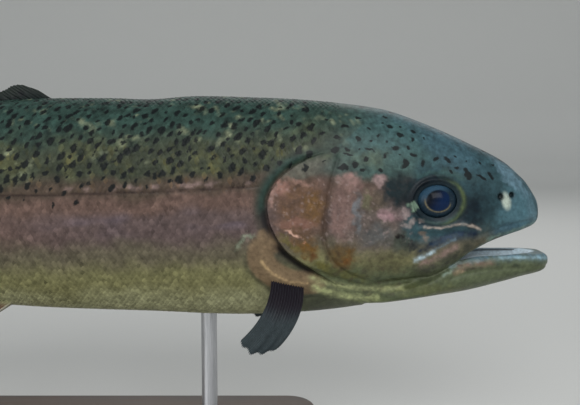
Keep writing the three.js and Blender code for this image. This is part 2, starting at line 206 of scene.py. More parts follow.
lower_power = profile([
    (0, 2.1), (8, 2.8), (20, 4.4), (50, 4.6), (64, 2.6), (90, 1.9), (150, 1.95), (500, 2),
])
lateral_line = profile([(110, 15), (135, 12), (200, 9), (270, 7), (500, 2)])

SNOUT_Z = -4
SNOUT_ROUNDING = {"top": 10, "floor": 13, "side": 16}
JAW_TIP = -5.5
JAW_END = 84
JAW_ROUNDING = {"height": 5, "side": 10}
JAW_POWERS = 5.5, 2.0


def sway(d):
    return TAIL_SWAY * (np.maximum(0, np.asarray(d) - SWAY_START) / SWAY_SPAN) ** 2


def place(d, y, z):
    """Points of the frame, in metres, from the trout's own terms."""
    d, y, z = np.broadcast_arrays(d, y, z)
    return np.stack([NOSE_X - d, y + sway(d), z + AXIS_Z], -1) * MM


def body_section(d):
    """Top, bottom, half width, widest height and the two roundnesses of the body at d."""
    floor = np.where(d < HEAD_FLOOR_END, head_floor(d), belly_line(d))
    inset = SCALE_DEPTH * smooth(100, 150, d)
    return (
        SNOUT_Z + (back_line(d) - SNOUT_Z) * rounded(d, SNOUT_ROUNDING["top"]) - inset,
        SNOUT_Z + (floor - SNOUT_Z) * rounded(d, SNOUT_ROUNDING["floor"]) + inset,
        half_width(d) * rounded(d, SNOUT_ROUNDING["side"]) - inset,
        widest_z(d),
        upper_power(d),
        lower_power(d),
    )


def jaw_section(d):
    """The same of the lower jaw."""
    middle = (lower_lip(d) + belly_line(d)) / 2
    tip = d - JAW_TIP
    return (
        middle + (lower_lip(d) - middle) * rounded(tip, JAW_ROUNDING["height"]),
        middle + (belly_line(d) - middle) * rounded(tip, JAW_ROUNDING["height"]),
        jaw_half_width(d) * rounded(tip, JAW_ROUNDING["side"]),
        middle,
        *(np.full_like(middle, power) for power in JAW_POWERS),
    )


# ------------------------------------------------------------------ lines seen from the side


def drawn(points, count=48):
    """A rounded line through points (d, z)."""
    p = np.array(points, float)
    p = np.concatenate([[2 * p[0] - p[1]], p, [2 * p[-1] - p[-2]]])
    t = np.linspace(0, len(points) - 1 - 1e-6, count)
    i = t.astype(int)
    t = (t - i)[:, None]
    a, b, c, e = p[i], p[i + 1], p[i + 2], p[i + 3]
    return 0.5 * (2 * b + (c - a) * t + (2 * a - 5 * b + 4 * c - e) * t**2 + (3 * b - a - 3 * c + e) * t**3)


def to_line(line, d, z):
    """Distance to a drawn line, which side of it (+ on its right going along), and how far along."""
    d, z = np.broadcast_arrays(np.asarray(d, np.float32), np.asarray(z, np.float32))
    best = np.full(d.shape, 1e9, np.float32)
    side = np.zeros(d.shape, np.float32)
    along = np.zeros(d.shape, np.float32)
    for i, (a, b) in enumerate(zip(line[:-1], line[1:])):
        ab = b - a
        t = np.clip(((d - a[0]) * ab[0] + (z - a[1]) * ab[1]) / (ab @ ab), 0, 1)
        gap = np.hypot(d - a[0] - t * ab[0], z - a[1] - t * ab[1])
        nearer = gap < best
        best = np.where(nearer, gap, best)
        side = np.where(nearer, (d - a[0]) * ab[1] - (z - a[1]) * ab[0], side)
        along = np.where(nearer, (i + t) / (len(line) - 1), along)
    return best, np.sign(side), along


GILL_EDGE = drawn([
    (90, 40), (103, 29.5), (113, 26), (122, 21.5), (129, 16), (133.6, 9), (135, 3), (134, -5),
    (131, -12), (126, -19), (120, -24), (113, -28.8), (104, -35), (96, -42), (86, -49), (74, -58),
], 90)
COVER_FRONT = drawn([
    (101, 27), (104.4, 15), (106.7, 3), (107.8, -7), (107.6, -16), (104, -24), (96, -31),
    (84, -35.5), (70, -36),
])
THROAT_TOP = drawn([(46, -32), (58, -33.8), (72, -35), (84, -36.8), (92, -36.2), (104, -32), (116, -27)])
MAXILLA = drawn([(28, -13), (35.2, -15.4), (43, -19.8), (51, -23.9), (56, -26.8), (59, -28.5)])
MAXILLA_HALF = profile([(0, 3.2), (0.25, 4.8), (0.5, 5.9), (0.8, 6.2), (1, 5.4)])
UNDER_EYE = drawn([(33, -9.8), (38, -7.7), (44, -7.2), (48, -8), (53, -8.9), (60, -8.6), (67, -11)])
LOBE = drawn([(131, -13), (137, -16), (137.5, -24), (132, -30.5), (123, -35), (113, -35)])
SCALE_EDGE = drawn([
    (90, 62), (96, 45), (104, 33), (114, 28), (124, 22.5), (131.5, 17), (136.5, 9.5), (138, 3),
    (137, -6), (136, -12), (141, -18), (142, -27), (136, -35), (128, -41), (116, -47), (102, -56),
    (98, -64),
], 90)
UPPER_LIP = drawn([(0.5, -6.4), (8, -6.6), (18, -8), (28, -10.8), (35, -13.6)])
LOWER_LIP_FOLD = drawn([(-3, -29.2), (10, -29.4), (25, -30), (38, -31.6), (50, -35)])

SIDE_STEP = 0.5
SIDE_D = np.arange(-12, 170, SIDE_STEP)
SIDE_Z = np.arange(-64, 64, SIDE_STEP)


def side_map(function):
    """A function of the side view, worked out once on a lattice and read from it after that."""
    values = np.asarray(function(SIDE_D[:, None], SIDE_Z[None, :]), np.float32)

    def read(d, z):
        u = np.clip((d - SIDE_D[0]) / SIDE_STEP, 0, len(SIDE_D) - 1.001)
        v = np.clip((z - SIDE_Z[0]) / SIDE_STEP, 0, len(SIDE_Z) - 1.001)
        return bilinear(values, u, v)

    return read


def signed(line):
    """A map of the distance in front of a line, negative behind it."""
    def measure(d, z):
        gap, side, _ = to_line(line, d, z)
        return gap * side

    return side_map(measure)


def beside(line):
    """A map of the distance to a line."""
    return side_map(lambda d, z: to_line(line, d, z)[0])


before_gill_edge = signed(GILL_EDGE)
before_cover = signed(COVER_FRONT)
below_throat_top = signed(THROAT_TOP)
below_under_eye = signed(UNDER_EYE)
before_scales = signed(SCALE_EDGE)
near_lobe = beside(LOBE)
near_upper_lip = beside(UPPER_LIP)
near_lip_fold = beside(LOWER_LIP_FOLD)
near_maxilla = beside(MAXILLA)
maxilla_along = side_map(lambda d, z: to_line(MAXILLA, d, z)[2])


THROAT_RAY_PITCH = 4.1


def orbit_radius(d, z):
    """1 on the rim of the eye, seen from the side."""
    return np.hypot((d - EYE["d"]) / EYE["radii"][0], (z - EYE["z"]) / EYE["radii"][2])


def head_relief(d, z):
    """How far the bones, folds and seams of the head stand out from its plain form, in mm."""
    cover = before_cover(d, z)
    in_cover = smooth(0, 0.5, before_gill_edge(d, z))
    height = GILL_RISE * smooth(0, 26, -cover) * in_cover * smooth(-56, -46, z)
    height -= 0.75 * bump(cover, 0.9) * smooth(30, 22, z) * in_cover
    height += 0.5 * bump(cover - 3.2, 2.4) * smooth(24, 14, z) * in_cover

    # The throat's edge, and its rays below that.
    throat = below_throat_top(d, z)
    height -= 0.6 * bump(throat, 0.8) * smooth(52, 60, d) * in_cover
    rays = 0.5 + 0.5 * np.cos(throat * (2 * math.pi / THROAT_RAY_PITCH) - 2.2)
    height += 0.45 * rays * smooth(0.4, 2, throat) * smooth(60, 72, d) * in_cover

    # The rim of the eye, a groove round it, and the fold and groove below it.
    rim = orbit_radius(d, z) - 1
    height += (0.55 + 0.4 * smooth(6, 12, z)) * bump((rim - 0.12) * 10, 1.1)
    height -= 0.35 * bump((rim - 0.36) * 10, 1.3)
    fold = below_under_eye(d, z)
    reach = smooth(32, 40, d) * smooth(68, 60, d)
    height += 0.6 * bump(fold + 0.2, 1.1) * reach
    height -= 1.2 * bump(fold - 3.6, 2.2) * reach

    lip = near_upper_lip(d, z)
    height -= 0.6 * bump(lip, 0.9) * smooth(5, 11, d)
    height += 0.35 * bump(lip - 2.4, 1.5) * smooth(26, 14, d) * smooth(2, 8, d)
    return height * smooth(44, 30, z)


def shoulder_relief(d, z):
    """The fleshy edge of the shoulder behind the gill cover, and the lateral line."""
    edge = before_gill_edge(d, z)
    lobe = near_lobe(d, z)
    height = bump(lobe, 5) * smooth(1, -2, edge)
    height -= 0.5 * bump(lobe - 8.6, 1.3) * smooth(-6, -9, edge)
    height -= 0.3 * bump(z - lateral_line(d), 0.7) * smooth(134, 142, d)
    return height


# ------------------------------------------------------------------ the flesh as one field


def tube(d, y, z, section):
    """Near its surface, the distance from a tube whose sections are rounded boxes."""
    top, bottom, half, middle, above, below = (np.float32(v) for v in section)
    upper = z >= middle
    reach = np.maximum(np.where(upper, top - middle, middle - bottom), 0.05)
    power = np.where(upper, above, below)
    wide = y / np.maximum(half, 0.05)
    rise = np.abs(z - middle) / reach
    r = (wide**power + rise**power) ** (1 / power)
    r = np.maximum(r, 0.05)
    across = (wide / r) ** (power - 1) / np.maximum(half, 0.05)
    up = (rise / r) ** (power - 1) / reach
    distance = np.clip((r - 1) / np.maximum(np.hypot(across, up), 1e-4), -14, 14)
    slope = np.gradient(distance, d[:, 0, 0], axis=0)
    return distance / np.sqrt(1 + slope * slope)


def oval_radius(d, y, z, centre, radii):
    """1 on an ellipsoid, less inside it and more outside."""
    return np.sqrt(sum(((at - c) / r) ** 2 for at, c, r in zip((d, y, z), centre, radii)))


def ball(d, y, z, centre, radii):
    """Near its surface, the distance from an ellipsoid."""
    r = oval_radius(d, y, z, centre, radii)
    slope = oval_radius(d, y, z, centre, np.square(radii))
    return (r - 1) * r / np.maximum(slope, 1e-3)


def side_y(d, z):
    """Half the body's width at d and z."""
    top, bottom, half, middle, above, below = body_section(np.asarray(d, float))
    upper = z >= middle
    rise = np.clip(np.abs(z - middle) / np.where(upper, top - middle, middle - bottom), 0, 1)
    power = np.where(upper, above, below)
    return half * (1 - rise**power) ** (1 / power)


def with_gill_covers(body, d, z):
    """The body with its gill covers as plates over the edge of the shoulder."""
    edge = before_gill_edge(d, z)
    covered = body - head_relief(d, z)
    thickness = GILL_PLATE + 0.1 * np.maximum(edge, 0) + 8 * smooth(5, 9, edge)
    low = smooth(-8, -22, z) * smooth(98, 112, d)
    plate = cut(covered - 0.9 * low * smooth(14, 0, edge), edge, 0.9)
    plate = cut(plate, covered + thickness, 0.3)
    under_cover = (1.1 + 1.6 * low) * smooth(-2.2 - 2 * low, 0.4, edge) * smooth(30, 22, z)
    under_cover *= smooth(-58, -48, z)
    shoulder = np.maximum(body - shoulder_relief(d, z) + under_cover, edge - 12)

    # The covers run into the flesh at their tops and under the throat.
    closed = np.maximum(smooth(24, 31, z), smooth(-33, -41, z) * smooth(114, 104, d))
    sealed = body + 0.35 * bump(edge, 1.1) * smooth(-20, -30, z)
    return np.minimum(plate, shoulder) * (1 - closed) + sealed * closed


def lower_jaw_field(d, y, z):
    jaw = tube(d, y, z, jaw_section(np.minimum(d, JAW_END)))
    jaw = cut(jaw, d - JAW_TIP - 0.4, 2.5)
    jaw = jaw + 0.55 * bump(near_lip_fold(d, z), 0.9) * smooth(52, 44, d)
    return jaw + 3.5 * smooth(77, 93, d) + 14 * smooth(93, 99, d)


def with_maxillae(flesh, body, d, z):
    """The flesh with the bar of each upper jaw lying in its cheek."""
    bar = near_maxilla(d, z) - MAXILLA_HALF(maxilla_along(d, z)).astype(np.float32)
    proud = 0.1 + 0.8 * smooth(31, 43, d)
    bar = cut(bar, body - proud, 1.3)
    bar = cut(bar, -body - 3.2, 0.5)
    crease = 0.55 * bump(bar - 0.5, 0.7) * smooth(33, 41, d)
    return np.minimum(flesh + crease * smooth(4, 1, np.abs(body)), bar)


def with_nostrils(flesh, d, y, z):
    for (at, up), radius in NOSTRILS:
        hole = ball(d, y, z, (at, float(side_y(at, up)), up), (radius * 0.85, 2.2, radius))
        flesh = cut(flesh, hole, 0.5)
    at, up = NOSTRIL_FLAP
    flap = ball(d, y, z, (at, float(side_y(at, up)) - 0.3, up), (1.7, 1.3, 3.6))
    return joined(flesh, flap, 0.6)


def flesh_field(d, y, z):
    """Negative inside the flesh, and in mm near its surface. d, y, z are one grid's axes."""
    body = cut(tube(d, y, z, body_section(d)), d - 0.5, 2.5)
    flesh = with_gill_covers(body, d, z)
    flesh = joined(flesh, lower_jaw_field(d, y, z), 0.9 + 4 * smooth(46, 64, d))
    for middle, radii, _ in MOUTH_HOLLOWS:
        flesh = cut(flesh, ball(d, y, z, middle, radii), 1.6)
    flesh = with_maxillae(flesh, body, d, z)
    flesh = joined(flesh, ball(d, y, z, TONGUE["at"], TONGUE["radii"]), 1.2)
    eye, dish = ((EYE["d"], middle, EYE["z"]) for middle in (EYE["y"], EYE_DISH["y"]))
    flesh = cut(flesh, ball(d, y, z, eye, np.add(EYE["radii"], EYE_GAP)), 0.5)
    flesh = cut(flesh, ball(d, y, z, dish, EYE_DISH["radii"]), 0.8)
    return with_nostrils(flesh, d, y, z)


def grid_axes():
    """The grid's places along d, along y on the left, and along z."""
    head = np.arange(GRID_START, HEAD_END, VOXEL)
    growth = np.clip(np.arange(BODY_LENGTH) / GROWTH_STEPS, 0, 1)
    trunk = head[-1] + np.cumsum(VOXEL + (TRUNK_STEP - VOXEL) * growth)
    lengthwise = np.concatenate([head, trunk[trunk < GRID_END]])
    return lengthwise, np.arange(0, GRID_HALF_WIDTH, VOXEL), np.arange(GRID_LOW, GRID_HIGH, VOXEL)


def flesh_mesh():
    """Corners (d, y, z) and faces of the trout's whole skin, as one surface."""
    ds, ys, zs = (axis.astype(np.float32) for axis in grid_axes())
    field = flesh_field(ds[:, None, None], ys[None, :, None], zs[None, None, :])
    field = np.maximum(field, (ds - BODY_LENGTH)[:, None, None]).astype(np.float32)
    field = np.clip(field, -FIELD_LIMIT, FIELD_LIMIT)
    whole = np.concatenate([field[:, :0:-1], field], axis=1)
    whole_ys = np.concatenate([-ys[:0:-1], ys])
    grid = openvdb.FloatGrid(FIELD_LIMIT)
    grid.copyFromArray(np.ascontiguousarray(whole))
    points, quads = grid.convertToQuads()
    points = points.astype(float)
    for _ in range(SURFACE_STEPS):
        points -= step_to_surface(whole, points)
    corners = [np.interp(points[:, axis], np.arange(len(marks)), marks)
               for axis, marks in enumerate((ds, whole_ys, zs))]
    return np.stack(corners, -1), quads


def step_to_surface(field, points):
    """The step, in cells, from each point to the field's zero along its slope."""
    shape = np.array(field.shape)
    p = np.clip(points, 0, shape - 1.001)
    cell = p.astype(int)
    t = p - cell
    corners = np.empty((len(p), 2, 2, 2))
    for a, b, c in CELL_CORNERS:
        corners[:, a, b, c] = field[cell[:, 0] + a, cell[:, 1] + b, cell[:, 2] + c]
    tx, ty, tz = t.T
    x = corners[:, 0] * (1 - tx)[:, None, None] + corners[:, 1] * tx[:, None, None]
    xy = x[:, 0] * (1 - ty)[:, None] + x[:, 1] * ty[:, None]
    value = xy[:, 0] * (1 - tz) + xy[:, 1] * tz
    gx = corners[:, 1] - corners[:, 0]
    gx = gx[:, 0] * (1 - ty)[:, None] + gx[:, 1] * ty[:, None]
    gx = gx[:, 0] * (1 - tz) + gx[:, 1] * tz
    gy = x[:, 1] - x[:, 0]
    gy = gy[:, 0] * (1 - tz) + gy[:, 1] * tz
    gz = xy[:, 1] - xy[:, 0]
    slope = np.stack([gx, gy, gz], -1)
    size = np.maximum((slope**2).sum(1), 1e-3)
    return np.clip((value / size)[:, None] * slope, -0.7, 0.7)


# ------------------------------------------------------------------ meshes


def new_object(name, corners, faces):
    """A smooth mesh object from points in metres and faces of one size."""
    mesh = bpy.data.meshes.new(name)
    faces = np.asarray(faces)
    count, size = faces.shape
    mesh.vertices.add(len(corners))
    mesh.vertices.foreach_set("co", np.asarray(corners, np.float32).ravel())
    mesh.loops.add(count * size)
    mesh.loops.foreach_set("vertex_index", faces.astype(np.int32).ravel())
    mesh.polygons.add(count)
    mesh.polygons.foreach_set("loop_start", np.arange(0, count * size, size, dtype=np.int32))
    mesh.polygons.foreach_set("use_smooth", np.ones(count, bool))
    mesh.update(calc_edges=True)
    mesh.validate()
    item = bpy.data.objects.new(name, mesh)
    bpy.context.scene.collection.objects.link(item)
    return item


def ring_faces(index):
    """Four-sided faces between rows of points, where each row is a closed ring."""
    beyond = np.roll(index, -1, axis=1)
    return np.stack([index[:-1], beyond[:-1], beyond[1:], index[1:]], -1).reshape(-1, 4)


def facing_out(corners, faces):
    """The faces, turned over if they enclose a negative volume."""
    a, b, c = (corners[faces[:, i]] for i in range(3))
    inside_out = (np.cross(a, b) * c).sum() < 0
    return faces[:, ::-1] if inside_out else faces


def set_value(item, name, values):
    attribute = item.data.attributes.new(name, "FLOAT", "POINT")
    attribute.data.foreach_set("value", np.asarray(values, np.float32))


def set_colour(item, name, colours):
    attribute = item.data.color_attributes.new(name, "FLOAT_COLOR", "POINT")
    rgba = np.ones((len(colours), 4), np.float32)
    rgba[:, :3] = colours
    attribute.data.foreach_set("color", rgba.ravel())


# ------------------------------------------------------------------ the flank as a map

# The flank is unrolled by d and by its share of the way from the back's ridge to the belly's middle.
MAP_D = np.arange(0.5, BODY_LENGTH, 1.0)
MAP_SHARE = np.linspace(0, 1, 241)
MAP_TURN = np.linspace(math.pi / 2, -math.pi / 2, 361)


def unroll():
    """Half girths by d, shares by (d, turn), and flank points (d, y, z) by (d, share)."""
    top, bottom, half, middle, above, below = (v[:, None] for v in body_section(MAP_D))
    upper = MAP_TURN >= 0
    reach = np.where(upper, top - middle, middle - bottom)
    power = 2 / np.where(upper, above, below)
    y = half * np.cos(MAP_TURN) ** power
    z = middle + reach * np.sign(MAP_TURN) * np.abs(np.sin(MAP_TURN)) ** power
    steps = np.hypot(np.diff(y, axis=1), np.diff(z, axis=1))
    walked = np.concatenate([np.zeros((len(MAP_D), 1)), np.cumsum(steps, axis=1)], axis=1)
    girth = walked[:, -1]
    shares = walked / girth[:, None]
    rows = [[np.interp(MAP_SHARE, share, line[i]) for i, share in enumerate(shares)] for line in (y, z)]
    d = np.broadcast_to(MAP_D[:, None], (len(MAP_D), len(MAP_SHARE)))
    return girth, shares, np.stack([d, *np.array(rows)], -1)


MAP_GIRTH, TURN_SHARES, FLANK = unroll()


def read_map(table, d, across, low, high):
    """Values of a table by (MAP_D, evenly spaced across) at any d and place across."""
    u = np.clip(d - MAP_D[0], 0, len(MAP_D) - 1.001)
    v = np.clip((across - low) / (high - low), 0, 1) * (table.shape[1] - 1.001)
    return bilinear(table, u, v)


def flank_z(d, share):
    return read_map(FLANK[..., 2], d, share, 0, 1)


def share_of(d, y, z):
    """How far round the flank a point lies: 0 on the back's ridge, 1 under the belly."""
    top, bottom, half, middle, above, below = body_section(d)
    upper = z >= middle
    reach = np.where(upper, top - middle, middle - bottom)
    power = np.where(upper, above, below) / 2
    rise = (np.abs(z - middle) / np.maximum(reach, 0.1)) ** power
    wide = (np.abs(y) / np.maximum(half, 0.1)) ** power
    turn = np.where(upper, 1, -1) * np.arctan2(rise, wide)
    return read_map(TURN_SHARES, d, turn, MAP_TURN[0], MAP_TURN[-1])


def girth_at(d):
    return np.interp(d, MAP_D, MAP_GIRTH)


# ------------------------------------------------------------------ spots

# Spots are kept in square cells of the flank's map, so that only the nearest are looked at.
SPOT_CELL = 5.0
CELLS = (110, 34)
CELL_ROOM = 6
FAR_AWAY = 1e6
SPOT_TRIES = 18000
SPOT_SIZES = (0.55, 1.15)
SPOT_ROOM = 3.5  # between the middles of spots where they stand thickest
HEAD_SPOT_END = 112
HEAD_SPOT, TRUNK_SPOT = (1.3, 1.1), (1.6, 1.3)  # half width, and height as a share of it

# The right side of the head: d, z, half width, half height and how faded, from 0 to 1.
HEAD_SPOTS = [
    (114.7, 26.7, 1.3, 1.3, 0), (103.4, 28.5, 1.7, 1.1, 0), (97.3, 29, 0.8, 0.8, 0.1),
    (96.9, 26.2, 1.9, 0.5, 0), (92.1, 28.9, 0.8, 0.7, 0.2), (91.6, 33.6, 1.1, 1.1, 0.1),
    (85.9, 32.6, 0.9, 0.9, 0.2), (86.5, 28.5, 1.9, 0.6, 0.2), (87.9, 24.3, 1.2, 1.1, 0),
    (93.6, 22, 1.3, 1.2, 0.1), (99.3, 20.2, 1.9, 1.2, 0), (89.9, 19.2, 1.7, 1.3, 0.6),
    (81.8, 19.1, 1.9, 1.3, 0.5), (78.9, 25.6, 1.6, 1.4, 0.6), (78.7, 32.6, 1.2, 1.0, 0.5),
    (74.5, 29.3, 1.3, 1.2, 0.2), (76.9, 39.6, 1.5, 1.1, 0.2), (71.4, 34.9, 1.3, 1.1, 0.2),
    (66.1, 33.4, 1.1, 1.1, 0.3), (68.2, 29.3, 1.1, 1.0, 0.5), (65.4, 26, 1.2, 1.0, 0.3),
    (71.7, 26.5, 0.8, 0.7, 0.6), (69.9, 21.8, 1.3, 2.1, 0), (61.6, 22.2, 1.0, 2.4, 0.5),
    (55.1, 24.5, 1.1, 1.4, 0.2), (49.7, 23.5, 1.3, 1.2, 0.1), (44.5, 19.7, 1.2, 1.1, 0.2),
    (39.8, 22.4, 0.8, 0.8, 0.3), (45.2, 25.3, 0.9, 0.8, 0.6), (39.1, 16.3, 1.4, 1.8, 0),
    (33.2, 15.3, 1.9, 0.9, 0.1), (28.1, 15.7, 1.3, 1.3, 0.2), (47.5, 17.8, 1.2, 1.0, 0.2),
    (32.7, 21.4, 1.0, 0.8, 0.4), (25.9, 20.7, 1.1, 0.8, 0.4), (91.2, 43.4, 1.3, 0.8, 0.3),
    (98, 39.6, 1.9, 1.0, 0.2), (101.9, 34.5, 1.5, 0.7, 0.3), (87.1, 38.7, 1.4, 0.7, 0.3),
    (82.5, 34.9, 1.1, 1.0, 0.6), (80.7, 41, 0.8, 0.7, 0.4), (78.9, 43.8, 1.3, 0.9, 0.3),
    (71.6, 39.1, 1.1, 0.9, 0.4), (65.8, 37.2, 1.0, 0.8, 0.4), (60.1, 33.4, 1.1, 0.9, 0.6),
    (109, 35.9, 1.4, 1.2, 0.2), (106.5, 42.4, 1.3, 0.9, 0.2), (108.6, 22.5, 1.4, 0.7, 0.5),
]


# How far above the lateral line the spots reach down, by d.
SPOT_FADE = [120, 200, 330, 420, 500], [4, 2, -4, -14, -22]


def spot_weight(d, s, girth):
    """How thickly the spots stand, from 0 to 1, at d and at s mm down from the ridge."""
    z = flank_z(d, s / girth)
    above_line = z - lateral_line(d)
    fade = np.interp(d, *SPOT_FADE)
    trunk = smooth(fade - 2, fade + 5, above_line) * smooth(100, 130, d)
    trunk = np.maximum(trunk, 0.12 * smooth(fade - 16, fade, above_line) * smooth(200, 330, d))
    top = 0.7 * smooth(15, 22, z) * smooth(14, 30, d) * smooth(125, 105, d)
    return np.maximum(trunk, top)


def scatter_spots(known=()):
    """Spots of one flank: d, s, half width, half height and fading, in cells of nearby spots."""
    table = np.full((*CELLS, CELL_ROOM, 5), FAR_AWAY)
    table[..., 2:] = 1
    taken = np.zeros(CELLS, int)

    def put(*spot):
        i, j = int(spot[0] / SPOT_CELL), int(spot[1] / SPOT_CELL)
        table[i, j, taken[i, j]] = spot
        taken[i, j] += 1

    for d, z, half, tall, faded in known:
        share = share_of(np.array([d]), side_y(np.array([d]), z), np.array([z]))
        put(d, float(share[0] * girth_at(d)), 1.25 * half, 1.25 * tall, 0.7 * faded)
    for _ in range(SPOT_TRIES):
        d = RANDOM.uniform(8, 504)
        girth = float(girth_at(d))
        s = RANDOM.uniform(0.5, girth)
        weight = float(spot_weight(np.array([d]), np.array([s]), girth)[0])
        if RANDOM.random() > weight:
            continue
        head = d < HEAD_SPOT_END
        if head and known and s > 7:
            continue
        size = RANDOM.uniform(*SPOT_SIZES)
        room = (SPOT_ROOM + 2.0 * (1 - weight)) * (0.7 + 0.35 * size) * (1.25 if head else 1)
        i, j = int(d / SPOT_CELL), int(s / SPOT_CELL)
        others = table[max(i - 1, 0):i + 2, max(j - 1, 0):j + 2]
        crowded = (np.hypot(others[..., 0] - d, (others[..., 1] - s) * 0.8) < room).any()
        if crowded or taken[i, j] == CELL_ROOM:
            continue
        width, tall = HEAD_SPOT if head else TRUNK_SPOT
        put(d, s, width * size, width * tall * size, RANDOM.uniform(0, 0.35) ** 1.5)
    return table


SPOTS = {1: scatter_spots(), -1: scatter_spots(HEAD_SPOTS)}


def near_spot(d, y, z):
    """How near points of the skin are to a spot: 1 on a spot's rim, 2 in its middle, 0 away from it."""
    d = np.clip(d, 1, BODY_LENGTH - 1)
    s = share_of(d, y, z) * girth_at(d)
    points = np.stack([d, y, z], -1)
    d = d + noises(points, (0.75, 1.5, 3), (0.8, 3.1, 38))
    s = s + noises(points, (0.75, 1.5, 4), (0.8, 3.1, 39))
    i, j = (np.clip((at / SPOT_CELL).astype(int), 1, cells - 2) for at, cells in zip((d, s), CELLS))
    near = np.zeros(len(d))
    for side in (1, -1):
        here = np.flatnonzero(y * side >= 0)
        for di in (-1, 0, 1):
            for dj in (-1, 0, 1):
                spots = SPOTS[side][i[here] + di, j[here] + dj]
                down = s[here, None] - spots[..., 1]
                along = d[here, None] - spots[..., 0] - 0.3 * down
                r = np.hypot(along / spots[..., 2], down / spots[..., 3])
                near[here] = np.maximum(near[here], (2 - r - spots[..., 4]).max(axis=1))
    return near


# ------------------------------------------------------------------ colours


def linear(colour):
    """A colour given as 0 to 255 screen values, as the renderer counts it."""
    c = np.asarray(colour, float) / 255
    return np.where(c <= 0.04045, c / 12.92, ((c + 0.055) / 1.055) ** 2.4)


def plain(colour, count):
    return np.tile(linear(colour), (count, 1))


def painted(colours, *layers):
    """Colours under layers of a colour and its share, laid on in turn."""
    for colour, share in layers:
        share = np.clip(np.asarray(share), 0, 1)[..., None]
        colours = colours * (1 - share) + linear(colour) * share
    return colours


def patch(d, z, at, radii, turn=0):
    """1 in the middle of an oval patch of the side view, fading softly to 0."""
    a = math.radians(turn)
    along = (d - at[0]) * math.cos(a) + (z - at[1]) * math.sin(a)
    over = (z - at[1]) * math.cos(a) - (d - at[0]) * math.sin(a)
    return smooth(1.35, 0.45, np.hypot(along / radii[0], over / radii[1]))


